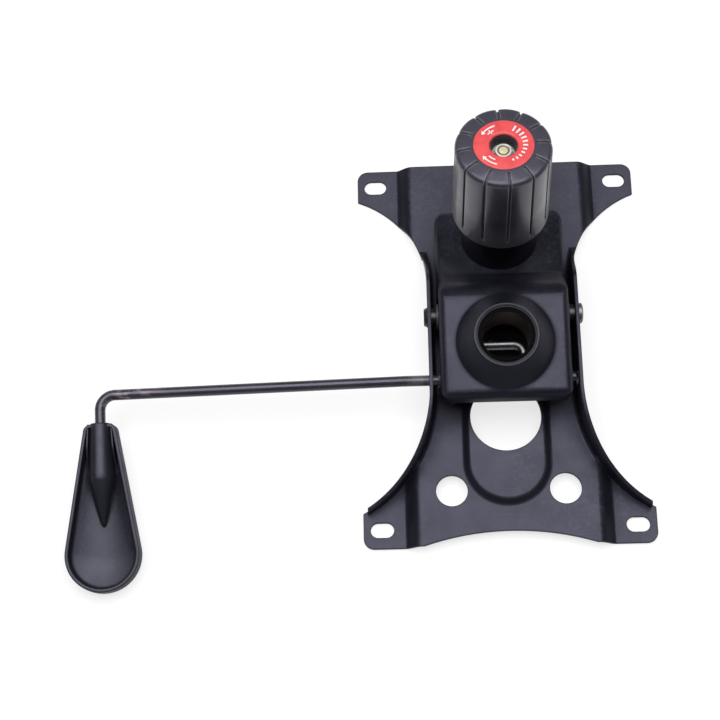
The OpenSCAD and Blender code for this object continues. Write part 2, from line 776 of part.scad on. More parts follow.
module spring_seat() {
    color("#8f9094") unit_pose() translate([0, 0, seat_low]) difference() {
        cylinder(h = seat_t, r = washer_r);
        translate([0, 0, -over]) cylinder(h = seat_t + 2 * over, r = bolt_r + move_gap);
    }
}

// Points of the spring's tube: each ring is square to the coil
function spring_point(i) =
    let (a = 360 * i / spring_turn_rings, t = i / (spring_curls * spring_turn_rings))
    [spring_mean_r * cos(a), spring_mean_r * sin(a), spring_low + (spring_high - spring_low) * t];
function spring_ring(i) = let (a = 360 * i / spring_turn_rings, c = spring_point(i))
    [for (k = [0:spring_sides - 1]) let (b = 360 * k / spring_sides)
        c + wire_r * [cos(b) * cos(a), cos(b) * sin(a), sin(b)]];

module tension_spring() {
    rings = spring_curls * spring_turn_rings;
    points = [for (i = [0:rings], p = spring_ring(i)) p];
    sides = [for (i = [0:rings - 1], k = [0:spring_sides - 1], half = [0, 1])
        let (a = i * spring_sides + k, b = i * spring_sides + (k + 1) % spring_sides)
            half == 0 ? [a, a + spring_sides, b] : [b, a + spring_sides, b + spring_sides]];
    last = rings * spring_sides;
    caps = [for (k = [1:spring_sides - 2], end = [0, 1])
        end == 0 ? [0, k, k + 1] : [last, last + k + 1, last + k]];
    curl_gap = min([for (i = [0:rings - spring_turn_rings], p = spring_ring(i),
        q = spring_ring(i + spring_turn_rings)) norm(p - q)]);
    echo(tension_spring_self_gap = curl_gap);
    color("#5c5f66") unit_pose() polyhedron(points = points, faces = concat(sides, caps));
}

// Rubber stop that meets the seat plate at full tilt
module stop_bumper() {
    tab_top = rear_wall_foot + shell_t;
    color("#0e0e0f") housing_pose() translate([stop_x, stop_y, 0]) {
        translate([0, 0, stop_foot])
            cylinder(h = rear_wall_foot - seat_gap - stop_foot, r = stop_r);
        translate([0, 0, rear_wall_foot - over]) cylinder(h = shell_t + 2 * over, r = stop_neck_r);
        translate([0, 0, tab_top + seat_gap])
            cylinder(h = stop_head_t, r1 = stop_head_r, r2 = stop_neck_r);
    }
}

// Bolt with a domed head that rocks under the plate's emboss
module tension_bolt() {
    dome = [for (a = [0:fillet_steps]) let (r = bolt_r + (head_r - bolt_r) * a / fillet_steps)
        [r, dome_s + sqrt(dome_r * dome_r - r * r)]];
    edge_s = dome_s + dome_edge;
    color("#8f9094") unit_pose() {
        rotate_extrude() polygon(concat([[0, edge_s - head_rim], [head_r, edge_s - head_rim]],
            [for (i = [len(dome) - 1:-1:0]) dome[i]], [[0, dome[0][1]]]));
        translate([-neck_half, -neck_half, edge_s])
            cube([2 * neck_half, 2 * neck_half, dome_r - dome_edge + neck_l]);
        translate([0, 0, edge_s]) cylinder(h = bolt_top - edge_s, r = bolt_r);
    }
}

module thrust_washer() {
    color("#8f9094") unit_pose() translate([0, 0, washer_low]) difference() {
        cylinder(h = washer_t, r = washer_r);
        translate([0, 0, -over]) cylinder(h = washer_t + 2 * over, r = bolt_r + move_gap);
    }
}

module tension_knob() {
    rim_round = moved(arc(knob_wall / 2, 270, 360, fillet_steps),
        [knob_r - knob_wall / 2, knob_gap + knob_wall / 2]);
    edge_round = moved(arc(knob_edge, 0, knob_edge_turn, fillet_steps),
        [knob_top_r - knob_edge, knob_top - knob_dish - knob_edge]);
    color("#1b1b1d") unit_pose() difference() {
        rotate_extrude() polygon(concat([[knob_boss_r, nut_low], [knob_boss_r, cavity_top],
            [knob_top_r - knob_wall, cavity_top], [knob_r - knob_wall, knob_gap]], rim_round, edge_round,
            [[label_r + seat_gap, knob_top], [label_r + seat_gap, knob_top - label_sink],
             [knob_hole_r, knob_top - label_sink], [nut_hole_r, nut_high + over],
             [nut_hole_r, nut_low]]));
        // Pocket of the nut, open toward the spring
        translate([0, 0, nut_low - over])
            cylinder(h = nut_h + over + seat_gap, r = nut_r + seat_gap, $fn = 6);
        // Grip grooves run up the side and in over the top
        for (i = [0:grooves - 1]) rotate([0, 0, 360 * i / grooves]) {
            translate([knob_top_r - groove_d, -groove_w / 2, knob_gap + groove_clear])
                cube([knob_r, groove_w, knob_h]);
            translate([label_r + groove_margin, -groove_w / 2, knob_top - knob_dish - groove_d])
                cube([knob_r, groove_w, knob_h]);
        }
    }
}

// Ring label let into the knob's top, rolled down into its hole
module knob_label() {
    low = knob_top - label_sink + seat_gap;
    color("#c8332f") unit_pose() rotate_extrude()
        polygon([[knob_hole_r, low], [label_r, low], [label_r, low + label_t],
            [knob_hole_r + label_roll, low + label_t], [knob_hole_r, low + label_t / 2]]);
}

module knob_nut() {
    color("#b9b6ae") unit_pose() translate([0, 0, nut_low]) difference() {
        cylinder(h = nut_h, r = nut_r, $fn = 6);
        translate([0, 0, -over]) cylinder(h = nut_h + 2 * over, r = bolt_r + run_gap);
    }
}

// Stop collar on the rod, against the inside of the left wall when the lever is pulled out
module lever_collar() {
    color("#d9d7cf") lever_pose() difference() {
        cross_bar(collar_r, move_gap - wall_in, move_gap - wall_in + collar_w);
        cross_bar(rod_r + run_gap, -far, 0);
    }
}

// A bend of the rod: it starts toward +Y at [r, 0] and turns to the left
module rod_bend(r, turn) {
    rotate_extrude(angle = turn) translate([r, 0]) circle(rod_r);
}

module lever_rod() {
    b = rod_bend_r;
    run = crank_right - crank_left;
    bend_x = leg_x + leg_bend_r * cos(handle_toe);
    color("#2b2b31") lever_pose() {
        cross_bar(rod_r, bow_x, crank_left - b);
        cross_bar(rod_r, crank_right + b, rod_end);
        // Crank: two legs and a bar that presses the gas lift's valve
        for (side = [0, 1])
            translate([side == 0 ? crank_left : crank_right, 0, 0]) mirror([side, 0, 0]) {
                translate([-b, b, 0]) rotate([0, 0, -90]) rod_bend(b, 90);
                translate([0, b, 0]) rotate([-90, 0, 0]) cylinder(h = crank_reach - 2 * b, r = rod_r);
                translate([b, crank_reach - b, 0]) rotate([0, 0, 90]) rod_bend(b, 90);
            }
        translate([crank_left, crank_reach, 0]) cross_bar(rod_r, b, run - b);
        // Long arm, and the bend and leg that carry the handle
        bow_pose() {
            cross_bar(leg_r, bow_x - over, bow_x + over / 2);
            cross_bar(rod_r, bend_x, bow_x - over / 2);
            translate([bend_x, -leg_bend_r, 0]) rotate([0, 0, 90]) rod_bend(leg_bend_r, 90 + handle_toe);
            handle_pose() translate([0, over / 2, 0]) rotate([90, 0, 0])
                cylinder(h = leg_l + over / 2, r = leg_r);
        }
    }
}

// Turns what lies beyond the rod's slight set
module bow_pose() {
    translate([bow_x, 0, 0]) rotate([0, 0, rod_bow]) translate([-bow_x, 0, 0]) children();
}

// Places the handle's leg, toed in, at the end of the rod's bend
module handle_pose() {
    translate([leg_x, -leg_bend_r * (1 + sin(handle_toe)), 0]) rotate([0, 0, handle_toe]) children();
}

// The handle's outline: a neck that widens to a round end
module handle_plan(inset) {
    lean = asin((handle_end_r - handle_neck_w / 2) / (handle_round - handle_start));
    r = handle_end_r - inset;
    touch = [r * cos(lean), -handle_round + r * sin(lean)];
    neck = handle_neck_w / 2 - inset;
    top = -handle_start - inset;
    translate([0, -handle_round]) circle(r);
    cap = neck * handle_cap;
    polygon([touch, [neck, top - neck / 2], [cap, top], [-cap, top], [-neck, top - neck / 2],
        [-touch[0], touch[1]]]);
}

module lever_handle() {
    color("#2f2f33") lever_pose() bow_pose() handle_pose() difference() {
        union() {
            difference() {
                hull() {
                    translate([0, 0, handle_low + handle_edge])
                        linear_extrude(height = handle_t - handle_edge) handle_plan(0);
                    translate([0, 0, handle_low])
                        linear_extrude(height = handle_t) handle_plan(handle_edge);
                }
                translate([0, 0, handle_low + handle_wall])
                    linear_extrude(height = handle_t) handle_plan(handle_wall + handle_edge / 2);
            }
            // Socket for the rod, running out to a point on the pan
            intersection() {
                translate([0, -handle_start, 0]) rotate([90, 0, 0]) {
                    cylinder(h = boss_straight, r1 = boss_r, r2 = boss_end_r);
                    translate([0, 0, boss_straight - over]) rotate([boss_dive, 0, 0])
                        cylinder(h = boss_l - boss_straight, r1 = boss_end_r - seat_gap, r2 = boss_tip_r);
                }
                translate([0, 0, handle_low]) linear_extrude(height = handle_t + boss_r) handle_plan(0);
            }
        }
        translate([0, over, 0]) rotate([90, 0, 0]) cylinder(h = leg_l + over + seat_gap, r = rod_r);
    }
}

seat_plate();
pivot_axle();
axle_cap();
pivot_spacer_left();
pivot_spacer_right();
tilt_housing();
taper_socket();
pivot_bush_left();
pivot_bush_right();
lever_bush_left();
lever_bush_right();
spring_sleeve();
spring_seat();
tension_spring();
stop_bumper();
tension_bolt();
thrust_washer();
tension_knob();
knob_label();
knob_nut();
lever_collar();
lever_rod();
lever_handle();
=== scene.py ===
import math

import bpy
from mathutils import Matrix, Vector


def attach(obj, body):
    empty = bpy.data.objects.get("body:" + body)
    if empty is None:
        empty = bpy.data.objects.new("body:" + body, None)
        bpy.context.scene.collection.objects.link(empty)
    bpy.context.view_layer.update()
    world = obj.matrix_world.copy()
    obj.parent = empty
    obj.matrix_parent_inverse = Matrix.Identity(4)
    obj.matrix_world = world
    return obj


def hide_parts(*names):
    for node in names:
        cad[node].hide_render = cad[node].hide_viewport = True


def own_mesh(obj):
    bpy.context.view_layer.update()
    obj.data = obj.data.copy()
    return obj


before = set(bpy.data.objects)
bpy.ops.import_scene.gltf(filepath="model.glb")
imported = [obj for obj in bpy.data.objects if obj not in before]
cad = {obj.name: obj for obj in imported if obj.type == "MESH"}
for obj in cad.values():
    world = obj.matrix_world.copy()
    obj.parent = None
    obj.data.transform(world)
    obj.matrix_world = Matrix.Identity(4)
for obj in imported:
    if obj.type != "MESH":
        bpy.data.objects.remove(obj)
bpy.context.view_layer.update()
scene = bpy.context.scene
scene.view_settings.view_transform = "Standard"

MM = 0.001
UP = Vector((0, 0, 1))


def turn(degrees, axis):
    return Matrix.Rotation(math.radians(degrees), 4, axis)


def shift(x, y, z):
    return Matrix.Translation((x, y, z))


# Frames of the housing, the knob unit and the gas lift socket, in millimetres and degrees
PIVOT_Y, PIVOT_Z, HOUSING_PITCH = 13.5, 26, 5
UNIT_Y, UNIT_Z, UNIT_LEAN = 50.1, -2.4, 16
SOCKET_Y = -22.1
HOUSING = shift(0, PIVOT_Y, PIVOT_Z) @ turn(HOUSING_PITCH, "X")
UNIT = HOUSING @ shift(0, UNIT_Y, UNIT_Z) @ turn(-UNIT_LEAN, "X")
SOCKET = HOUSING @ shift(0, SOCKET_Y, 0)

# Frames of the lever, whose rod droops until the handle's tip is just clear of the floor
ROD_Y, ROD_Z = -40, 2.5  # the rod's place in the housing's frame
TOE, BOW, BOW_X, LEG_X, LEG_BEND = 0.5, 1.1, -61.5, -245, 9.0
START, LENGTH, END_R, NECK = 8.2, 101.5, 22.75, 11.0  # the handle's outline
LOW, TOP, LOW_ROUND, TIP_CLEAR = -6.6, 4.4, 2.5, 0.5  # its heights from the rod's axis, and its edge
ROD = HOUSING @ Vector((0, ROD_Y, ROD_Z))
LEG_DROP = LEG_BEND * (1 + math.sin(math.radians(TOE)))
TIP_REACH = (BOW_X - LEG_X) * math.sin(math.radians(BOW)) + LEG_DROP + START + LENGTH - LOW_ROUND
TIP_SPAN = math.hypot(TIP_REACH, LOW)
DROOP = math.degrees(math.asin((ROD.z - TIP_CLEAR) / TIP_SPAN) - math.atan2(-LOW, TIP_REACH))
LEVER = shift(0, ROD.y, ROD.z) @ turn(DROOP, "X")
ARM = LEVER @ shift(BOW_X, 0, 0) @ turn(BOW, "Z") @ shift(-BOW_X, 0, 0)
HANDLE = ARM @ shift(LEG_X, -LEG_DROP, 0) @ turn(TOE, "Z")

# Camera at the photograph's place: its turns in radians, and where it sees the origin in millimetres
ROLL, YAW, TIP = 0.029002, -0.035049, -0.333306
ORIGIN_SEEN = (87.856, 5.860, -1000.608)
SENSOR, FOCAL_PX, IMAGE_PX = 36, 1612.79, 720
eye_turn = Matrix.Rotation(ROLL, 3, "Z") @ Matrix.Rotation(YAW, 3, "Y") @ Matrix.Rotation(TIP, 3, "X")
eye_back = eye_turn.transposed()
camera_data = bpy.data.cameras.new("camera")
camera_data.sensor_width = SENSOR
camera_data.lens = SENSOR * FOCAL_PX / IMAGE_PX
camera = bpy.data.objects.new("camera", camera_data)
camera.matrix_world = Matrix.Translation(-(eye_back @ (Vector(ORIGIN_SEEN) * MM))) @ eye_back.to_4x4()
scene.collection.objects.link(camera)
scene.camera = camera

# Colour sockets of the Mix node, and settings of the nodes that look around a point
MIX_A, MIX_B, MIX_OUT = 6, 7, 2
NEAR_SAMPLES = 6
CORNER_AIR, OPEN_AIR = 0.45, 0.92
FLAT_DOT, EDGE_DOT = 0.995, 0.86


class Paint:
    """One procedural material and the nodes it is made of. Scales are per metre."""

    def __init__(self, name, **constants):
        self.mat = bpy.data.materials.new(name)
        self.mat.use_nodes = True
        self.tree = self.mat.node_tree
        self.tree.nodes.clear()
        out = self.add("ShaderNodeOutputMaterial")
        self.shader = self.add("ShaderNodeBsdfPrincipled")
        self.link(self.shader.outputs[0], out.inputs["Surface"])
        self.place = self.add("ShaderNodeTexCoord").outputs["Object"]
        for key, value in constants.items():
            self.shader.inputs[key.replace("_", " ")].default_value = value

    def add(self, kind, **settings):
        node = self.tree.nodes.new(kind)
        for key, value in settings.items():
            setattr(node, key, value)
        return node

    def link(self, a, b):
        self.tree.links.new(a, b)

    def put(self, socket, value):
        if isinstance(value, bpy.types.NodeSocket):
            self.link(value, socket)
        else:
            socket.default_value = value

    def to(self, name, value):
        self.put(self.shader.inputs[name], value)

    def attribute(self, name):
        return self.add("ShaderNodeAttribute", attribute_name=name).outputs["Fac"]

    def noise(self, scale, detail=2.0, rough=0.5, vector=None):
        node = self.add("ShaderNodeTexNoise")
        self.link(vector or self.place, node.inputs["Vector"])
        node.inputs["Scale"].default_value = scale
        node.inputs["Detail"].default_value = detail
        node.inputs["Roughness"].default_value = rough
        return node.outputs["Fac"]

    def streaks(self, stretch, rotation=(0, 0, 0), rough=0.6):
        """Noise drawn out along an axis: each number of stretch is the scale along one axis."""
        node = self.add("ShaderNodeMapping")
        self.link(self.place, node.inputs["Vector"])
        node.inputs["Scale"].default_value = stretch
        node.inputs["Rotation"].default_value = [math.radians(a) for a in rotation]
        return self.noise(scale=1, detail=3, rough=rough, vector=node.outputs["Vector"])

    def remap(self, value, low, high, to_low=0.0, to_high=1.0):
        node = self.add("ShaderNodeMapRange")
        self.link(value, node.inputs["Value"])
        node.inputs["From Min"].default_value = low
        node.inputs["From Max"].default_value = high
        node.inputs["To Min"].default_value = to_low
        node.inputs["To Max"].default_value = to_high
        return node.outputs["Result"]

    def patches(self, low, high, scale, detail=2.0, rough=0.5, to=(0.0, 1.0)):
        """Noise spread out between two of its levels."""
        return self.remap(self.noise(scale, detail, rough), low, high, *to)

    def span(self, value, start, start_full, end_full, end):
        """One along a stretch, with soft ends."""
        return self.times(self.remap(value, start, start_full), self.remap(value, end, end_full))

    def math(self, operation, a, b):
        node = self.add("ShaderNodeMath", operation=operation, use_clamp=True)
        self.put(node.inputs[0], a)
        self.put(node.inputs[1], b)
        return node.outputs["Value"]

    def times(self, a, b):
        return self.math("MULTIPLY", a, b)

    def add_up(self, base, value, scale, clamp=True):
        node = self.add("ShaderNodeMath", operation="MULTIPLY_ADD", use_clamp=clamp)
        self.link(value, node.inputs[0])
        node.inputs[1].default_value = scale
        self.link(base, node.inputs[2])
        return node.outputs["Value"]

    def vector(self, operation, a, b=None):
        node = self.add("ShaderNodeVectorMath", operation=operation)
        self.put(node.inputs[0], a)
        if b is not None:
            self.put(node.inputs[1], b)
        return node.outputs

    def mix(self, factor, a, b):
        node = self.add("ShaderNodeMix", data_type="RGBA")
        self.put(node.inputs["Factor"], factor)
        for index, colour in ((MIX_A, a), (MIX_B, b)):
            linked = isinstance(colour, bpy.types.NodeSocket)
            self.put(node.inputs[index], colour if linked else (*colour, 1))
        return node.outputs[MIX_OUT]

    def lay(self, base, colour, mask, amount):
        """A colour laid over the base where the mask is, in part."""
        return self.mix(self.times(mask, amount), base, colour)

    def bump(self, height, strength, distance, normal=None):
        node = self.add("ShaderNodeBump")
        self.link(height, node.inputs["Height"])
        node.inputs["Strength"].default_value = strength
        node.inputs["Distance"].default_value = distance
        if normal:
            self.link(normal, node.inputs["Normal"])
        return node.outputs["Normal"]

    def upward(self, low, high):
        """How far a point of the surface faces up, between two heights of its normal."""
        part = self.add("ShaderNodeSeparateXYZ")
        self.link(self.add("ShaderNodeTexCoord").outputs["Normal"], part.inputs[0])
        return self.remap(part.outputs["Z"], low, high)

    def open_air(self, distance):
        """A factor that falls from one on open faces to nothing in inside corners."""
        node = self.add("ShaderNodeAmbientOcclusion", samples=NEAR_SAMPLES)
        node.inputs["Distance"].default_value = distance
        return self.remap(node.outputs["AO"], CORNER_AIR, OPEN_AIR)

    def rounded(self, radius):
        """Softened edge normal, and how near a point is to an edge."""
        soft = self.add("ShaderNodeBevel", samples=NEAR_SAMPLES)
        soft.inputs["Radius"].default_value = radius
        normal = soft.outputs["Normal"]
        true = self.add("ShaderNodeNewGeometry").outputs["True Normal"]
        return normal, self.remap(self.vector("DOT_PRODUCT", normal, true)["Value"], FLAT_DOT, EDGE_DOT)


def coat(name, dark, light, wear, rough, edge, edge_r=0.0007, peel=0.10, scuffs=0.5, level=0.4, steep=0.0,
         painted_light=0.0, rubbed=None):
    """Satin coat: orange peel, cloudy gloss, dust, scuffs and rubbed edges, duller on steep walls, with
    painted light: open up-facing faces paler and inside corners darker as painted shade.
    """
    p = Paint(name, Specular_IOR_Level=level, Specular_Tint=(0.74, 0.74, 1.0, 1))
    flat = p.upward(0.80, 0.96)
    base = p.mix(p.patches(0.32, 0.68, scale=42, detail=4, rough=0.6), dark, light)
    dust = p.times(p.patches(0.48, 0.76, scale=430, detail=4, rough=0.62), p.patches(0.40, 0.66, scale=24))
    base = p.lay(base, wear, p.times(dust, flat), amount=0.42)
    streak = p.streaks((40, 900, 200), rotation=(0, 0, 28), rough=0.5)
    scuff = p.times(p.remap(streak, 0.64, 0.74), p.patches(0.54, 0.68, scale=31))
    base = p.lay(base, wear, scuff, scuffs)
    smudge = p.times(p.patches(0.42, 0.72, scale=34, detail=5, rough=0.62), flat)
    base = p.lay(base, wear, smudge, amount=0.19)
    gloss = p.patches(0.3, 0.7, scale=75, detail=3, to=(rough - 0.06, rough + 0.06))
    gloss = p.add_up(gloss, smudge, scale=0.07)
    if steep:
        gloss = p.add_up(gloss, p.upward(0.93, 0.4), steep)
    # Painted light: open up-facing faces are laid paler, and inside corners are left darker as painted
    # shade; corners also get rougher
    if painted_light:
        air = p.open_air(distance=0.016)
        base = p.lay(base, wear, p.times(p.upward(0.984, 0.995), air), painted_light)
        gloss = p.add_up(gloss, p.math("SUBTRACT", 1.0, air), scale=0.16)
    if rubbed:
        base = rubbed(p, base)
    normal, near = p.rounded(edge_r)
    rub = p.times(near, p.patches(0.35, 0.62, scale=210, detail=4, rough=0.7, to=(0.15, 1.0)))
    p.to("Base Color", p.lay(base, wear, rub, edge))
    p.to("Roughness", gloss)
    p.to("Normal", p.bump(p.noise(scale=1250, detail=1.5), peel, distance=0.00012, normal=normal))
    return p.mat


def plastic(name, dark, light, rough, grain, depth, edge=0.3, wear=(0.1, 0.1, 0.105), level=0.5, steep=0.0,
            coarse=0.0, painted_light=0.0, sheen=0.0, clear=0.0, marked=False):
    """Moulded plastic with a spark-eroded grain and paler handled edges, duller on steep walls. On the
    handle the pale edges are in part a painted highlight, and painted light can lay up-facing faces paler.

    A marked piece has point attributes for its dust, its wear and its low part, which is duller. The dust
    is in part painted light on the top, and the wear in part painted glints on the lit side of the grooves.
    """
    p = Paint(name, Specular_IOR_Level=level, Specular_Tint=(0.76, 0.75, 1.0, 1), Sheen_Weight=sheen,
              Sheen_Roughness=0.35, Coat_Weight=clear, Coat_Roughness=0.18)
    flat = p.upward(0.70, 0.95)
    fine = p.noise(grain, detail=2, rough=0.6)
    base = p.mix(p.patches(0.3, 0.7, scale=55, detail=3), dark, light)
    base = p.mix(p.times(p.remap(fine, 0.62, 0.8, 0, 0.35), flat), base, wear)
    gloss = p.patches(0.3, 0.7, scale=90, detail=3, to=(rough - 0.05, rough + 0.06))
    if marked:
        # Paler top: dust, and painted top light
        dust = p.attribute("dust")
        dull = p.times(dust, p.patches(0.25, 0.75, scale=650, detail=3, rough=0.6, to=(0.55, 1.0)))
        base = p.mix(dull, base, (0.043, 0.041, 0.054))
        # Pale groove shoulders: wear, and painted glints stronger on the lit side of each groove
        wear_and_glint = p.times(p.attribute("wear"), p.patches(0.3, 0.6, scale=420, detail=3, to=(0.35, 1.0)))
        base = p.mix(wear_and_glint, base, (0.19, 0.185, 0.20))
        gloss = p.add_up(gloss, dust, scale=0.15)
        gloss = p.add_up(gloss, p.attribute("low"), scale=0.35)
    if coarse:
        specks = p.patches(0.45, 0.75, scale=750, detail=2, rough=0.6, to=(0, coarse))
        base = p.mix(p.times(specks, flat), base, wear)
    # Painted light: up-facing faces are laid paler
    if painted_light:
        base = p.lay(base, wear, p.upward(0.93, 0.985), painted_light)
    if steep:
        gloss = p.add_up(gloss, p.upward(0.8, 0.3), steep)
    normal, near = p.rounded(radius=0.0005)
    p.to("Base Color", p.lay(base, wear, near, edge))
    p.to("Roughness", gloss)
    p.to("Normal", p.bump(fine, depth, distance=0.0002, normal=normal))
    return p.mat


def metal(name, dark, light, rough, brush):
    """Bare or plated steel with turning marks."""
    p = Paint(name, Metallic=1.0)
    lines = p.streaks(brush)
    p.to("Base Color", p.mix(p.remap(lines, 0.3, 0.7), dark, light))
    p.to("Roughness", p.remap(lines, 0.25, 0.75, rough - 0.06, rough + 0.1))
    p.to("Normal", p.bump(lines, strength=0.15, distance=0.00008))
    return p.mat


# Lower edge of the socket's painted mouth in millimetres, and how ragged and soft it is in metres
PAINT_LINE, PAINT_RAGGED, PAINT_SOFT = 36.0, 0.0016, 0.0012


def socket_steel(name):
    """Raw tube, brown with oil and heat, painted black at its mouth."""
    p = Paint(name, Metallic=0.6, Specular_IOR_Level=0.4)
    up = HOUSING.to_3x3() @ UP
    line = ((SOCKET @ Vector((0, 0, PAINT_LINE))) * MM).dot(up)
    along = p.vector("DOT_PRODUCT", p.place, up)["Value"]
    height = p.add_up(along, p.noise(scale=260, detail=3, rough=0.6), PAINT_RAGGED, clamp=False)
    painted = p.remap(height, line - PAINT_SOFT, line + PAINT_SOFT)
    lines = p.streaks((40, 40, 700))
    bare = p.mix(p.remap(lines, 0.3, 0.7), (0.05, 0.036, 0.028), (0.15, 0.105, 0.08))
    oil = p.patches(0.45, 0.7, scale=110, detail=4, rough=0.65, to=(0, 0.7))
    bare = p.mix(oil, bare, (0.03, 0.02, 0.015))
    p.to("Base Color", p.mix(painted, bare, (0.006, 0.006, 0.007)))
    p.to("Roughness", p.remap(lines, 0.25, 0.75, 0.32, 0.5))
    p.to("Normal", p.bump(lines, strength=0.12, distance=0.00008))
    return p.mat


# Stretches of the rod along X, in metres: where it slides, where it has nicks and where it is bare
SLIDES = (-0.060, -0.055, -0.044, -0.040)
NICKED = (-0.246, -0.236, -0.220, -0.204)
BARE = (-0.031, -0.024, 0.028, 0.032)


def sliding_wear(p, base):
    """Paint rubbed off in rings where the rod slides, rusty nicks near the bend, a bare bright crank."""
    part = p.add("ShaderNodeSeparateXYZ")
    p.link(p.place, part.inputs[0])
    across = part.outputs["X"]
    rings = p.remap(p.streaks((330, 90, 90)), 0.30, 0.72)
    base = p.mix(p.times(p.span(across, *SLIDES), rings), base, (0.115, 0.108, 0.10))
    nicks = p.remap(p.streaks((130, 420, 420)), 0.50, 0.64)
    base = p.mix(p.times(nicks, p.span(across, *NICKED)), base, (0.24, 0.185, 0.19))
    bare = p.times(p.span(across, *BARE), p.patches(0.25, 0.45, scale=300, detail=3, to=(0.6, 1.0)))
    p.to("Metallic", bare)
    return p.mix(bare, base, (0.15, 0.15, 0.155))


# Radii on the bolt's end, in metres, between which its yellow middle ends and its silver rim begins
YELLOW_IN, YELLOW_OUT, SILVER_IN, SILVER_OUT = 0.0024, 0.0028, 0.0033, 0.0036


def bolt_end(name):
    """Plated bolt, silver at the thread and yellow in the middle of its end face."""
    p = Paint(name, Metallic=1.0)
    axis = (UNIT.to_3x3() @ UP).normalized()
    offset = p.vector("SUBTRACT", p.place, UNIT.translation * MM)["Vector"]
    radius = p.vector("LENGTH", p.vector("CROSS_PRODUCT", offset, axis)["Vector"])["Value"]
    lines = p.streaks((300, 300, 900))
    spread = p.remap(lines, 0.3, 0.7)
    silver = p.mix(spread, (0.66, 0.65, 0.60), (0.86, 0.85, 0.80))
    yellow = p.mix(spread, (0.80, 0.76, 0.48), (0.90, 0.87, 0.62))
    groove = p.mix(p.remap(radius, YELLOW_IN, YELLOW_OUT), yellow, (0.17, 0.16, 0.10))
    p.to("Base Color", p.mix(p.remap(radius, SILVER_IN, SILVER_OUT), groove, silver))
    p.to("Roughness", p.remap(lines, 0.25, 0.75, 0.44, 0.58))
    p.to("Normal", p.bump(lines, strength=0.15, distance=0.00008))
    return p.mat


def label_paint(name, dark, light, rough):
    """Printed sheet with faint mottling and pale specks."""
    p = Paint(name)
    base = p.mix(p.patches(0.35, 0.65, scale=160, detail=3), dark, light)
    specks = p.patches(0.68, 0.8, scale=2400, detail=1, to=(0, 0.25))
    p.to("Base Color", p.mix(specks, base, (0.85, 0.5, 0.47)))
    p.to("Roughness", p.patches(0.3, 0.7, scale=240, detail=2, to=(rough - 0.06, rough + 0.08)))
    p.to("Normal", p.bump(p.noise(scale=900, detail=2), strength=0.06, distance=0.0001))
    return p.mat


# Materials: colours are linear, lengths in metres
# painted_light on a coat lays open up-facing faces paler and leaves inside corners darker, as painted shade
plate_coat = coat("plate_powder_coat", dark=(0.0070, 0.0069, 0.0112), light=(0.0108, 0.0106, 0.0168),
                  wear=(0.09, 0.09, 0.114), rough=0.32, edge=0.16, edge_r=0.0011, level=0.33, steep=0.12,
                  painted_light=0.23)
pan_coat = coat("housing_powder_coat", dark=(0.0051, 0.0050, 0.0088), light=(0.0080, 0.0078, 0.0132),
                wear=(0.08, 0.08, 0.104), rough=0.33, edge=0.12, edge_r=0.0036, level=0.30, steep=0.3,
                painted_light=0.36)
# A pale rim colour: rubbed paint, and in part a painted highlight along the collar's edge
rim_rub_and_highlight_coat = coat("rim_rubbed_and_highlight_paint", dark=(0.06, 0.06, 0.066), light=(0.13, 0.13, 0.14),
                wear=(0.2, 0.2, 0.21), rough=0.30, edge=0.3, level=0.6)
rod_coat = coat("rod_black_paint", dark=(0.018, 0.017, 0.019), light=(0.032, 0.030, 0.031),
                wear=(0.12, 0.10, 0.10), rough=0.26, edge=0.3, edge_r=0.0004, peel=0.08, scuffs=0.8,
                level=0.8, rubbed=sliding_wear)
axle_coat = coat("axle_black_finish", dark=(0.012, 0.012, 0.014), light=(0.02, 0.02, 0.024),
                 wear=(0.16, 0.16, 0.17), rough=0.30, edge=0.6)
knob_plastic = plastic("knob_moulded_plastic", dark=(0.010, 0.0095, 0.012), light=(0.015, 0.014, 0.0175),
                       rough=0.33, grain=2600, depth=0.14, level=0.62, sheen=0.10, clear=0.30, marked=True)
# The handle's strong pale edges are rubbed wear and in part a painted highlight on its rim
handle_plastic = plastic("handle_moulded_plastic", dark=(0.0072, 0.0072, 0.0118),
                         light=(0.0108, 0.0108, 0.0172), rough=0.41, grain=2100, depth=0.34, edge=0.5,
                         wear=(0.12, 0.12, 0.135), steep=0.2, coarse=0.12, painted_light=0.25)
sleeve_plastic = plastic("sleeve_smooth_plastic", dark=(0.003, 0.003, 0.005), light=(0.005, 0.005, 0.008),
                         rough=0.34, grain=1500, depth=0.05, level=0.25)
bush_black = plastic("bush_black_nylon", dark=(0.02, 0.02, 0.022), light=(0.035, 0.035, 0.038), rough=0.4,
                     grain=1200, depth=0.05)
nylon = plastic("bush_grey_nylon", dark=(0.045, 0.045, 0.046), light=(0.075, 0.075, 0.077), rough=0.40,
                grain=1200, depth=0.05, edge=0.2, wear=(0.15, 0.15, 0.15))
rubber = plastic("stop_rubber", dark=(0.022, 0.022, 0.025), light=(0.034, 0.034, 0.038), rough=0.5,
                 grain=1800, depth=0.2)
zinc = metal("zinc_plated_steel", dark=(0.70, 0.69, 0.67), light=(0.88, 0.87, 0.84), rough=0.40,
             brush=(200, 200, 1400))
cap_zinc = metal("cap_dull_zinc", dark=(0.13, 0.13, 0.128), light=(0.24, 0.238, 0.23), rough=0.42,
                 brush=(1200, 300, 300))
dull_steel = metal("spacer_dull_steel", dark=(0.035, 0.035, 0.037), light=(0.08, 0.08, 0.083), rough=0.34,
                   brush=(1200, 200, 200))
spring_steel = metal("spring_oiled_steel", dark=(0.10, 0.10, 0.10), light=(0.2, 0.2, 0.2), rough=0.35,
                     brush=(300, 300, 300))
yellow_zinc = bolt_end("zinc_plated_bolt")
tube_steel = socket_steel("socket_raw_steel")
label_red = label_paint("label_red_print", dark=(0.68, 0.064, 0.072), light=(0.80, 0.088, 0.096),
                        rough=0.36)
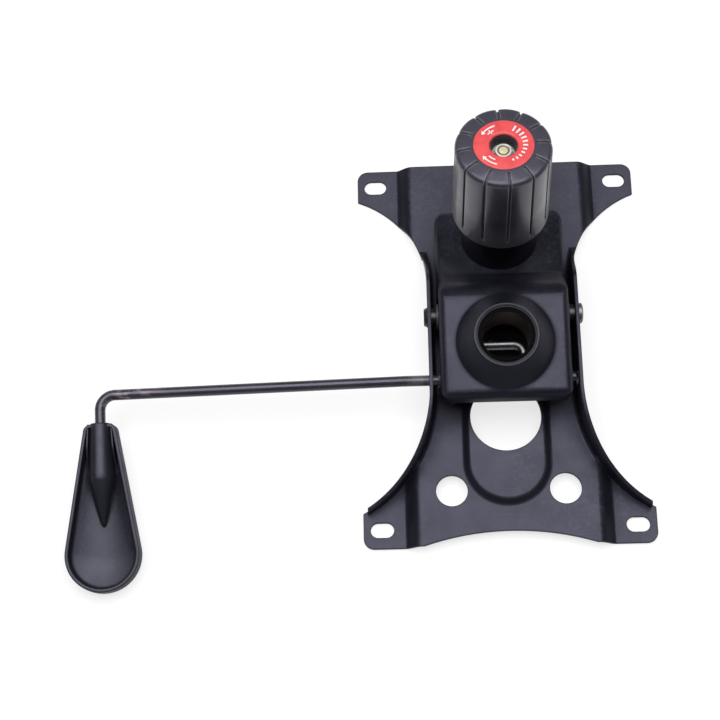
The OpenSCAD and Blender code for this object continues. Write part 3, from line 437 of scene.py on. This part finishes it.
label_white = label_paint("label_white_print", dark=(0.80, 0.76, 0.74), light=(0.88, 0.85, 0.83),
                          rough=0.38)

# Points nearer than this, in metres, are welded, and edges sharper than this, in degrees, stay sharp
WELD, SHARP = 2e-6, 26


def smooth_group():
    """Welds a mesh and shades it smooth except at edges sharper than an angle."""
    group = bpy.data.node_groups.new("smooth_by_angle", "GeometryNodeTree")
    group.interface.new_socket("Geometry", in_out="INPUT", socket_type="NodeSocketGeometry")
    group.interface.new_socket("Geometry", in_out="OUTPUT", socket_type="NodeSocketGeometry")
    add = group.nodes.new
    start = add("NodeGroupInput")
    end = add("NodeGroupOutput")
    weld = add("GeometryNodeMergeByDistance")
    weld.inputs["Distance"].default_value = WELD
    angle = add("GeometryNodeInputMeshEdgeAngle")
    sharp = add("FunctionNodeCompare")
    sharp.data_type = "FLOAT"
    sharp.operation = "GREATER_THAN"
    sharp.inputs["B"].default_value = math.radians(SHARP)
    shade = add("GeometryNodeSetShadeSmooth")
    normal = add("GeometryNodeSetMeshNormal")
    normal.inputs["Remove Custom"].default_value = True
    link = group.links.new
    link(start.outputs[0], weld.inputs["Geometry"])
    link(weld.outputs[0], shade.inputs["Geometry"])
    link(shade.outputs[0], normal.inputs["Mesh"])
    link(angle.outputs["Unsigned Angle"], sharp.inputs["A"])
    link(sharp.outputs["Result"], normal.inputs["Edge Sharpness"])
    link(normal.outputs[0], end.inputs[0])
    return group


SMOOTH = smooth_group()


def finish_node(node, material):
    """A carried CAD node: its material goes on the object's slot, its mesh stays."""
    obj = cad[node]
    obj.modifiers.new("smooth", "NODES").node_group = SMOOTH
    for slot in obj.material_slots:
        slot.link = "OBJECT"
        slot.material = material


def piece(name, verts, faces, place, material, body, replaced=()):
    """A new mesh piece from millimetre points in the given frame."""
    mesh = bpy.data.meshes.new(name)
    mesh.from_pydata([(place @ Vector(v)) * MM for v in verts], [], faces)
    mesh.validate()
    mesh.materials.append(material)
    obj = bpy.data.objects.new(name, mesh)
    scene.collection.objects.link(obj)
    obj.modifiers.new("smooth", "NODES").node_group = SMOOTH
    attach(obj, body)
    if replaced:
        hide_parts(*replaced)
    return obj


def skin(rings, around, closed=False, capped=False):
    """Quads between rings of points: closed joins the last ring to the first, capped fills both ends."""
    faces = []
    for j in range(rings if closed else rings - 1):
        a, b = j * around, (j + 1) % rings * around
        faces += [(a + i, a + (i + 1) % around, b + (i + 1) % around, b + i) for i in range(around)]
    if capped:
        faces += [tuple(reversed(range(around))), tuple((rings - 1) * around + i for i in range(around))]
    return faces


def full_turn(steps):
    return [2 * math.pi * i / steps for i in range(steps)]


def polar(r, angle, height):
    return (r * math.cos(angle), r * math.sin(angle), height)


def lathe(profile, around, closed=False):
    """Rings of a profile of (radius, height) turned about Z."""
    verts = [polar(r, angle, height) for r, height in profile for angle in full_turn(around)]
    return verts, skin(len(profile), around, closed)


def arc(cx, cy, r, start, end, steps):
    """Points along an arc, from one angle in degrees to another."""
    angles = [math.radians(start + (end - start) * i / steps) for i in range(steps + 1)]
    return [(cx + r * math.cos(a), cy + r * math.sin(a)) for a in angles]


def smooth_step(x):
    x = min(1, max(0, x))
    return x * x * (3 - 2 * x)


# Carried CAD nodes
for node, material in {
    "seat_plate": plate_coat, "tilt_housing": pan_coat, "taper_socket": tube_steel, "pivot_axle": axle_coat,
    "axle_cap": cap_zinc, "pivot_spacer_left": dull_steel, "pivot_spacer_right": dull_steel,
    "pivot_bush_left": nylon, "pivot_bush_right": nylon, "lever_bush_left": bush_black,
    "lever_bush_right": bush_black, "spring_sleeve": sleeve_plastic, "spring_seat": zinc,
    "stop_bumper": rubber, "thrust_washer": zinc, "lever_collar": nylon, "lever_rod": rod_coat,
}.items():
    finish_node(node, material)

# Tension knob: twelve crowned grips parted by round grooves that run in over the top
KNOB_GAP, KNOB_R, KNOB_TOP_R = 30.6, 28.8, 28.0
FOOT_ROUND, SIDE_HIGH, TOP_ROUND = 1.5, 89.8, 3
SIDE_LOW = KNOB_GAP + FOOT_ROUND
SIDE_PLACES = (0.02, 0.04, 0.06, 0.075, 0.09, 0.105, 0.13, 0.2, 0.4, 0.6, 0.8, 0.92)
KNOB_TOP = [(24.4, 92.9), (22.6, 93.12), (20.6, 93.34), (19.7, 93.43), (19.2, 93.47), (18.8, 93.5),
            (18.4, 93.53), (17.95, 93.57), (17.45, 93.55)]
KNOB_OUTSIDE = (arc(KNOB_R - FOOT_ROUND, SIDE_LOW, FOOT_ROUND, 270, 360, 5)
                + [(KNOB_R + (KNOB_TOP_R - KNOB_R) * t, SIDE_LOW + (SIDE_HIGH - SIDE_LOW) * t)
                   for t in SIDE_PLACES]
                + arc(KNOB_TOP_R - TOP_ROUND, SIDE_HIGH, TOP_ROUND, 0, 80, 8) + KNOB_TOP)
KNOB_INSIDE = [(17.45, 92.6), (8.4, 92.6), (8.0, 92.2), (6.9, 87.2), (6.7, 86.4), (6.7, 77.6), (13.0, 77.6),
               (13.0, 87.1), (25.0, 87.1), (25.8, KNOB_GAP + 0.3), (26.2, KNOB_GAP)]
GROOVES, GRIP_STEPS, KNOB_SET = 12, 9, 5.0
HALF_GROOVE = (0.3, 0.6, 0.85, 1.05, 1.3, 1.7)
GROOVE_D, GROOVE_FLOOR, GROOVE_WALL = 1.15, 0.32, 0.62
GROOVE_FOOT, FOOT_RUN, GROOVE_END, END_RUN = 36.0, 1.6, 18.7, 0.9
CROWN, CROWN_RISE, CROWN_R, CROWN_FADE = 0.45, 10, 21, 5
panel = 360 / GROOVES


def knob_angles():
    """Angles around the knob, each with its distance from the middle of a groove, or None on a grip."""
    offsets = [-o for o in reversed(HALF_GROOVE)] + [0] + list(HALF_GROOVE)
    spread = [math.degrees(o / KNOB_TOP_R) for o in offsets]
    first, last = spread[-1], panel + spread[0]
    angles = []
    for g in range(GROOVES):
        angles += [(g * panel + a, o) for a, o in zip(spread, offsets)]
        angles += [(g * panel + first + (last - first) * k / GRIP_STEPS, None)
                   for k in range(1, GRIP_STEPS)]
    return angles


def groove_run(r, s):
    """Nothing at a groove's foot on the side and at its end on the top, and one between them."""
    return smooth_step((s - GROOVE_FOOT) / FOOT_RUN) * smooth_step((r - GROOVE_END) / END_RUN)


def knob_point(profile_point, before, after, angle, offset):
    """A point of the outside, sunk along the profile's normal by the grip's crown and the groove."""
    r, s = profile_point
    dr, ds = after[0] - before[0], after[1] - before[1]
    size = math.hypot(dr, ds)
    u = (angle % panel) / panel * 2 - 1
    depth = CROWN * abs(u) ** 3
    depth *= smooth_step((s - KNOB_GAP) / CROWN_RISE) * smooth_step((r - CROWN_R) / CROWN_FADE)
    if offset is not None:
        wide = abs(offset) * r / KNOB_TOP_R
        depth += GROOVE_D * (1 - smooth_step((wide - GROOVE_FLOOR) / GROOVE_WALL)) * groove_run(r, s)
    return polar(r - ds / size * depth, math.radians(angle + KNOB_SET), s + dr / size * depth)


# Pale shoulders of the grooves, from wear and painted glints; a paler top, from dust and painted top light;
# and the duller low part of the knob
SHOULDER, SHOULDER_W, GROOVE_PALE_TOP, GLINT_LIT_SIDE, GLINT_SHADED_SIDE = 0.9, 0.26, 0.9, 0.55, 0.08
GROOVE_PALE_START, GROOVE_PALE_RUN = 86.0, 4
TOP_PALE_START, TOP_PALE_RUN = 90.5, 2.2
LOW_START, LOW_RUN = 2.0, 26.0


def groove_wear_and_glint(profile_point, offset):
    """Paler plastic along the shoulders of a groove, most on the top: wear, and painted glints that are
    stronger on the lit side of each groove.
    """
    if offset is None:
        return 0.0
    r, s = profile_point
    wide = abs(offset) * r / KNOB_TOP_R
    side = GLINT_LIT_SIDE if offset > 0 else GLINT_SHADED_SIDE
    share = side + (GROOVE_PALE_TOP - side) * smooth_step((s - GROOVE_PALE_START) / GROOVE_PALE_RUN)
    return math.exp(-((wide - SHOULDER) / SHOULDER_W) ** 2) * groove_run(r, s) * share


def knob_grip():
    angles = knob_angles()
    count = len(angles)
    verts, wear_and_glint, dust_and_top_light, low = [], [], [], []
    for j, (r, s) in enumerate(KNOB_OUTSIDE):
        before, after = KNOB_OUTSIDE[max(j - 1, 0)], KNOB_OUTSIDE[min(j + 1, len(KNOB_OUTSIDE) - 1)]
        verts += [knob_point((r, s), before, after, a, o) for a, o in angles]
        # Pale groove shoulders: wear and painted glints
        wear_and_glint += [groove_wear_and_glint((r, s), o) for a, o in angles]
        # Paler top face: dust and painted top light
        dust_and_top_light += [smooth_step((s - TOP_PALE_START) / TOP_PALE_RUN)] * count
    for r, s in KNOB_INSIDE:
        verts += [polar(r, math.radians(a + KNOB_SET), s) for a, o in angles]
        wear_and_glint += [0.0] * count
        dust_and_top_light += [0.0] * count
    loop = KNOB_OUTSIDE + KNOB_INSIDE
    for r, s in loop:
        low += [1 - smooth_step((s - KNOB_GAP - LOW_START) / LOW_RUN)] * count
    faces = skin(len(loop), count, closed=True)
    grip = piece("tension_knob_grip", verts, faces, UNIT, knob_plastic, "knob",
                 ["tension_knob"])
    for name, values in (("wear", wear_and_glint), ("dust", dust_and_top_light), ("low", low)):
        grip.data.attributes.new(name, "FLOAT", "POINT").data.foreach_set("value", values)


knob_grip()

# Ring label with a rolled inner edge
LABEL_IN, LABEL_OUT, LABEL_BED, LABEL_TOP = 8.0, 17.4, 92.66, 93.85
ROLL_R, LIP_R, LABEL_SIDES = 1.2, 0.3, 96
label = ([(LABEL_IN, LABEL_BED)] + arc(LABEL_IN + ROLL_R, LABEL_TOP - ROLL_R, ROLL_R, 180, 90, 5)
         + arc(LABEL_OUT - LIP_R, LABEL_TOP - LIP_R, LIP_R, 90, 0, 3) + [(LABEL_OUT, LABEL_BED)])
verts, faces = lathe(label, LABEL_SIDES, closed=True)
piece("ring_label", verts, faces, UNIT, label_red, "knob", ["knob_label"])

# Printed marks on the label: radii in millimetres and angles in degrees
MARK_LOW, MARK_HIGH = LABEL_TOP - 0.01, LABEL_TOP + 0.03
BARS, BAR_FIRST, BAR_STEP, BAR_HALF = 11, -66, 12.6, 2.4
BAR_IN, BAR_OUT, BAR_GROW = 11.0, 12.4, 0.27
MORE, LESS = 128, 232
ARROW_IN, ARROW_OUT, ARROW_TAIL, ARROW_NECK = 13.9, 14.8, 20, 12
HEAD_IN, HEAD_OUT, HEAD_MID, HEAD_LONG = 12.9, 15.8, 14.35, 9
SIGN_IN, SIGN_OUT, SIGN_HALF = 11.2, 12.0, 11
PLUS_IN, PLUS_OUT, PLUS_WIDE, PLUS_SLIM = 10.1, 13.1, 2.0, 1.6


def mark(name, outline):
    """A printed shape: a closed outline of (radius, angle) points on the label."""
    n = len(outline)
    verts = [polar(r, math.radians(a), height) for height in (MARK_LOW, MARK_HIGH) for r, a in outline]
    faces = [tuple(range(n, 2 * n)), tuple(reversed(range(n)))]
    faces += [(i, (i + 1) % n, n + (i + 1) % n, n + i) for i in range(n)]
    piece(name, verts, faces, UNIT, label_white, "knob")


def band(r_in, r_out, start, end, steps):
    """An arc band between two radii."""
    angles = [start + (end - start) * k / steps for k in range(steps + 1)]
    return [(r_out, a) for a in angles] + [(r_in, a) for a in reversed(angles)]


for k in range(BARS):
    middle = BAR_FIRST + BAR_STEP * k
    mark(f"mark_bar_{k}", band(BAR_IN, BAR_OUT + BAR_GROW * k, middle - BAR_HALF, middle + BAR_HALF, 2))
for name, middle, way in (("more", MORE, 1), ("less", LESS, -1)):
    tail, neck = middle - ARROW_TAIL * way, middle + ARROW_NECK * way
    mark(f"mark_arrow_{name}", band(ARROW_IN, ARROW_OUT, min(tail, neck), max(tail, neck), 10))
    mark(f"mark_head_{name}", [(HEAD_IN, neck), (HEAD_OUT, neck), (HEAD_MID, neck + HEAD_LONG * way)])
    mark(f"mark_sign_{name}", band(SIGN_IN, SIGN_OUT, middle - SIGN_HALF, middle + SIGN_HALF, 6))
mark("mark_plus", [(PLUS_IN, MORE - PLUS_WIDE), (PLUS_OUT, MORE - PLUS_SLIM), (PLUS_OUT, MORE + PLUS_SLIM),
                   (PLUS_IN, MORE + PLUS_WIDE)])

# Nut with turned chamfers, seen at the bottom of the knob's hole
NUT_LOW, NUT_HIGH, NUT_FLAT, NUT_FACE_R, NUT_BORE = 77.6, 85.6, 8.5, 8.2, 5.06
CHAMFER_SLOPE, NUT_STEPS = 0.5, 72


def hex_r(angle):
    """Radius of the nut's hexagon at an angle in degrees."""
    return NUT_FLAT / math.cos(math.radians((angle + 30) % 60 - 30))


def nut():
    """Round rings of (radius, height), and hexagons that a chamfer cuts, below for 1 and above for -1."""
    rings = ((NUT_BORE, NUT_LOW, 0), (NUT_FACE_R, NUT_LOW, 0), (0, NUT_LOW, 1), (0, NUT_HIGH, -1),
             (NUT_FACE_R, NUT_HIGH, 0), (6.45, NUT_HIGH, 0), (6.2, NUT_HIGH - 0.7, 0),
             (NUT_BORE + 0.4, NUT_HIGH - 1.0, 0), (NUT_BORE, NUT_HIGH - 1.4, 0))
    verts = []
    for r_round, height, side in rings:
        for i in range(NUT_STEPS):
            angle = 360 * i / NUT_STEPS
            r = hex_r(angle) if side else r_round
            verts.append(polar(r, math.radians(angle), height + (r - NUT_FACE_R) * CHAMFER_SLOPE * side))
    faces = skin(len(rings), NUT_STEPS, closed=True)
    piece("knob_hex_nut", verts, faces, UNIT, zinc, "knob", ["knob_nut"])


nut()

# Tension bolt: a domed head under the hole in the plate, a plain shank and a ringed end
DOME_R, DOME_GAP, HOLE_R, SEAT_Z = 13.0, 0.5, 6.4, 9
HEAD_R, HEAD_T, HEAD_CUT = 10.0, 1.2, 0.4
BOLT_R, SHANK_R, ROOT_R, BOLT_TOP, BOLT_SIDES = 5.0, 4.9, 4.3, 88.6, 48
SHANK_END, ROOT_START = 24.0, 24.6
CENTRE_R = 0.01
dome_drop = math.sqrt((DOME_R + DOME_GAP) ** 2 - HOLE_R ** 2)
DOME_S = (SEAT_Z - dome_drop - UNIT.translation.z) / math.cos(math.radians(UNIT_LEAN - HOUSING_PITCH))


def dome(r):
    """Height of the head's dome at a radius."""
    return DOME_S + math.sqrt(DOME_R ** 2 - r ** 2)


head_low = dome(HEAD_R) - HEAD_T
BOLT_HEAD = [(CENTRE_R, head_low), (HEAD_R - HEAD_CUT, head_low), (HEAD_R, head_low + HEAD_CUT)]
BOLT_HEAD += [(r, dome(r)) for r in (HEAD_R, 9.4, 8.6, 7.8, 7.0, 6.2, 5.4)]
BOLT_SHANK = [(SHANK_R, dome(BOLT_R)), (SHANK_R, SHANK_END), (ROOT_R, ROOT_START)]
BOLT_END = [(r, BOLT_TOP - drop) for r, drop in (
    (ROOT_R, 1.2), (4.85, 0.9), (4.96, 0.45), (4.7, 0), (3.6, 0), (3.4, 0.4), (2.75, 0.4), (2.5, 0.1),
    (CENTRE_R, 0.05))]
verts, faces = lathe(BOLT_HEAD + BOLT_SHANK + BOLT_END, BOLT_SIDES)
piece("tension_bolt_shank", verts, faces, UNIT, yellow_zinc, "bolt", ["tension_bolt"])

# Rolled thread of the bolt, fading in and out at its ends
THREAD_PITCH, THREAD_START, THREAD_END = 1.5, 25.0, 0.8
THREAD_H, THREAD_SUNK, FLANK_HALF, CREST_HALF = 0.66, 4.2, 0.62, 0.12
THREAD_STEPS, FADE_IN, FADE_OUT = 32, 12, 24


def thread():
    total = int((BOLT_TOP - THREAD_END - THREAD_START) / THREAD_PITCH * THREAD_STEPS)
    verts = []
    for k in range(total + 1):
        angle = 2 * math.pi * k / THREAD_STEPS
        height = THREAD_START + THREAD_PITCH * k / THREAD_STEPS
        crest = ROOT_R + THREAD_H * min(1, k / FADE_IN, (total - k) / FADE_OUT)
        for r, rise in ((THREAD_SUNK, -FLANK_HALF), (crest, -CREST_HALF), (crest, CREST_HALF),
                        (THREAD_SUNK, FLANK_HALF)):
            verts.append(polar(r, angle, height + rise))
    faces = skin(total + 1, 4, capped=True)
    piece("tension_bolt_thread", verts, faces, UNIT, yellow_zinc, "bolt")


thread()

# Spring in two halves: the lower one rides with the housing, the upper one with the washer
WIRE, MEAN, CURLS = 2.6, 16.0, 8
SEAT_LOW, SEAT_T, SEAT_GAP, SPRING_HIGH = 1.55, 2, 0.05, 75.5
SPRING_LOW = SEAT_LOW + SEAT_T + SEAT_GAP
RINGS, SIDES = 40, 12


def spring_half(name, t0, t1, body):
    lowest, highest = SPRING_LOW + WIRE, SPRING_HIGH - WIRE
    n = int(CURLS * RINGS * (t1 - t0))
    verts = []
    for k in range(n + 1):
        t = t0 + (t1 - t0) * k / n
        angle = 2 * math.pi * CURLS * t
        height = lowest + (highest - lowest) * t
        for b in full_turn(SIDES):
            verts.append(polar(MEAN + WIRE * math.cos(b), angle, height + WIRE * math.sin(b)))
    faces = skin(n + 1, SIDES, capped=True)
    obj = piece(name, verts, faces, UNIT, spring_steel, body, ["tension_spring"])
    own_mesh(obj)


spring_half("spring_lower_coils", 0, 0.5, "housing")
spring_half("spring_upper_coils", 0.5, 1, "washer")

# Pale rim of the gas lift collar, rubbed paint and in part a painted highlight: (radius, rise) over the
# collar's top
RIM_H, RIM_SIDES = 39, 96
COLLAR_RIM = ((18.36, -0.4), (18.42, 0.08), (18.56, 0.18), (18.7, 0.1), (18.8, -0.1), (18.86, -0.4))
verts, faces = lathe([(r, RIM_H + rise) for r, rise in COLLAR_RIM], RIM_SIDES)
piece("collar_pale_rim", verts, faces, SOCKET, rim_rub_and_highlight_coat, "housing")

# Paddle handle: a shallow dished pan with a rolled rim. DISH says how far in its inner rings lie
ROUND_Y = -(START + LENGTH - END_R)
TIP_STEPS, SIDE_STEPS = 40, 12
NECK_IN, NECK_Y, CORNER_IN, CORNER_Y, CORNER_R = 0.4, 6.0, 5.6, 5.2, 5.0
RIM_ROUND, RIM_OUT, RIM_IN = 0.6, 1.0, 2.0
PAN_FLOOR, PAN_RISE = -5.45, 3.1
DISH = (0.08, 0.18, 0.3, 0.45, 0.6, 0.76, 0.9, 0.985)


def handle_outline():
    """Right half from the tip up to the neck, then mirrored."""
    lean = math.degrees(math.asin((END_R - NECK) / (-ROUND_Y - START)))
    right = arc(0, ROUND_Y, END_R, -90, lean, TIP_STEPS)
    (x, y), (neck_x, neck_y) = right[-1], (NECK - NECK_IN, -START - NECK_Y)
    right += [(x + (neck_x - x) * k / SIDE_STEPS, y + (neck_y - y) * k / SIDE_STEPS)
              for k in range(1, SIDE_STEPS + 1)]
    right += arc(NECK - CORNER_IN, -START - CORNER_Y, CORNER_R, 8, 88, 10)
    end_y = -START - CORNER_Y + CORNER_R
    right += [(3.5, end_y), (1.5, end_y)]
    return right + [(-x, y) for x, y in reversed(right[1:])]


def handle_pan():
    """A section of (distance in from the outline, height) up the wall, over the rim and into the dish."""
    section = ([(5.0, LOW)] + arc(LOW_ROUND, LOW + LOW_ROUND, LOW_ROUND, 270, 180, 6)
               + [(0.12, -1.0), (0.35, 2.6)]
               + arc(RIM_OUT, TOP - RIM_ROUND, RIM_ROUND, 180, 90, 4) + [(1.5, TOP + 0.02)]
               + arc(RIM_IN, TOP - RIM_ROUND, RIM_ROUND, 90, 0, 4)
               + [(2.75, 1.8), (2.9, 0.2), (3.1, -1.0), (3.5, -1.7), (4.1, -2.1), (4.8, -2.35)])
    plan = handle_outline()
    n = len(plan)
    inward = []
    for i in range(n):
        (x0, y0), (x1, y1) = plan[i - 1], plan[(i + 1) % n]
        size = math.hypot(x1 - x0, y1 - y0)
        inward.append((-(y1 - y0) / size, (x1 - x0) / size))
    verts = [(x + dx * d, y + dy * d, z) for d, z in section for (x, y), (dx, dy) in zip(plan, inward)]
    edge = verts[-n:]
    for f in DISH:
        for x, y, z in edge:
            spine_y = min(max(y, ROUND_Y), -START - NECK)
            verts.append((x * (1 - f), y + (spine_y - y) * f, PAN_FLOOR + PAN_RISE * (1 - f) ** 2))
    faces = skin(len(section) + len(DISH), n, capped=True)
    piece("lever_handle_pan", verts, faces, HANDLE, handle_plastic, "lever",
          ["lever_handle"])


handle_pan()

# Boss that holds the rod: (distance along, radius, height) of its hole, its barrel and its tapered tip
BOSS_SIDES = 48
BOSS_HOLE = ((4.0, 3.26, 0), (0.3, 3.3, 0), (0.0, 3.6, 0))
BOSS_BARREL = ((0.0, 6.0, 0), (0.25, 6.3, 0), (0.8, 6.55, 0), (10, 6.9, 0), (20, 7.25, 0), (30, 7.6, 0),
               (33.2, 7.72, 0))
BOSS_TIP = ((34.2, 7.6, -0.12), (37.6, 7.0, -0.6), (43.2, 5.85, -1.4), (48.6, 4.7, -2.2), (53.8, 3.4, -3.1),
            (58.2, 2.3, -3.9), (60.8, 1.4, -4.5), (61.8, 0.6, -5.0))
boss = BOSS_HOLE + BOSS_BARREL + BOSS_TIP
verts = [(r * math.cos(a), -START - s, z + r * math.sin(a))
         for s, r, z in boss for a in full_turn(BOSS_SIDES)]
faces = skin(len(boss), BOSS_SIDES, capped=True)
piece("lever_handle_boss", verts, faces, HANDLE, handle_plastic, "lever")

# Thin ribs beside the boss, level at first and then falling to the pan
RIB_START, RIB_L, RIB_STEPS, RIB_LEVEL = 0.6, 30.0, 16, 0.45
RIB_X, RIB_SPREAD, RIB_LOW, RIB_TOP, RIB_FALL = 6.9, 0.06, -4.6, 4.15, 7.2
RIB_HALF = 0.6
RIB_CROWN = ((-0.55, 0.35), (-0.3, 0.05), (0, 0), (0.3, 0.05), (0.55, 0.35))


def rib(name, side):
    verts = []
    for k in range(RIB_STEPS + 1):
        t = k / RIB_STEPS
        s = RIB_START + RIB_L * t
        x = side * (RIB_X + RIB_SPREAD * s)
        top = RIB_TOP - RIB_FALL * smooth_step((t - RIB_LEVEL) / (1 - RIB_LEVEL))
        crown = [(dx, top - drop) for dx, drop in RIB_CROWN]
        row = [(-RIB_HALF, RIB_LOW)] + crown + [(RIB_HALF, RIB_LOW)]
        verts += [(x + dx, -START - s, z) for dx, z in row]
    faces = skin(RIB_STEPS + 1, len(row), capped=True)
    piece(name, verts, faces, HANDLE, handle_plastic, "lever")


rib("lever_handle_rib_left", -1)
rib("lever_handle_rib_right", 1)

# Pale floor with an upturned edge, in metres; its glow shows to the camera and in reflections alone
FLOOR, FLOOR_Z, EDGE_Z = 10.0, -0.0003, 0.94
FLOOR_GLOW = 0.72
corners = ((-FLOOR, -FLOOR), (FLOOR, -FLOOR), (FLOOR, FLOOR), (-FLOOR, FLOOR))
floor_mesh = bpy.data.meshes.new("floor")
floor_mesh.from_pydata([(x, y, z) for z in (FLOOR_Z, EDGE_Z) for x, y in corners], [],
                       [(0, 1, 2, 3)] + [(i, i + 4, (i + 1) % 4 + 4, (i + 1) % 4) for i in range(4)])
floor = bpy.data.objects.new("floor", floor_mesh)
scene.collection.objects.link(floor)
floor_paint = Paint("floor_white", Roughness=0.9, Emission_Color=(1, 1, 1, 1))
mottle = floor_paint.noise(scale=3, detail=2)
floor_paint.to("Base Color", floor_paint.mix(mottle, (0.31, 0.31, 0.315), (0.33, 0.33, 0.335)))
path = floor_paint.add("ShaderNodeLightPath").outputs
seen = floor_paint.math("MAXIMUM", path["Is Camera Ray"], path["Is Glossy Ray"])
seen = floor_paint.math("MAXIMUM", seen, path["Is Transmission Ray"])
floor_paint.to("Emission Strength", floor_paint.remap(seen, 0, 1, 0, FLOOR_GLOW))
floor_mesh.materials.append(floor_paint.mat)

# One softbox overhead, facing down, and an even world
SOFTBOX_AT, SOFTBOX_X, SOFTBOX_Y, SOFTBOX_POWER = (-0.1, 0.26, 1.45), 1.7, 1.2, 26.3
WORLD_LEVEL = 0.18
softbox = bpy.data.lights.new("key_softbox", "AREA")
softbox.shape = "RECTANGLE"
softbox.size, softbox.size_y = SOFTBOX_X, SOFTBOX_Y
softbox.energy = SOFTBOX_POWER
lamp = bpy.data.objects.new("key_softbox", softbox)
scene.collection.objects.link(lamp)
lamp.matrix_world = Matrix.Translation(SOFTBOX_AT)

world = bpy.data.worlds.new("studio")
scene.world = world
world.use_nodes = True
tree = world.node_tree
tree.nodes.clear()
out = tree.nodes.new("ShaderNodeOutputWorld")
back = tree.nodes.new("ShaderNodeBackground")
back.inputs["Strength"].default_value = WORLD_LEVEL
back.inputs["Color"].default_value = (1.0, 1.0, 1.0, 1)
tree.links.new(back.outputs[0], out.inputs["Surface"])
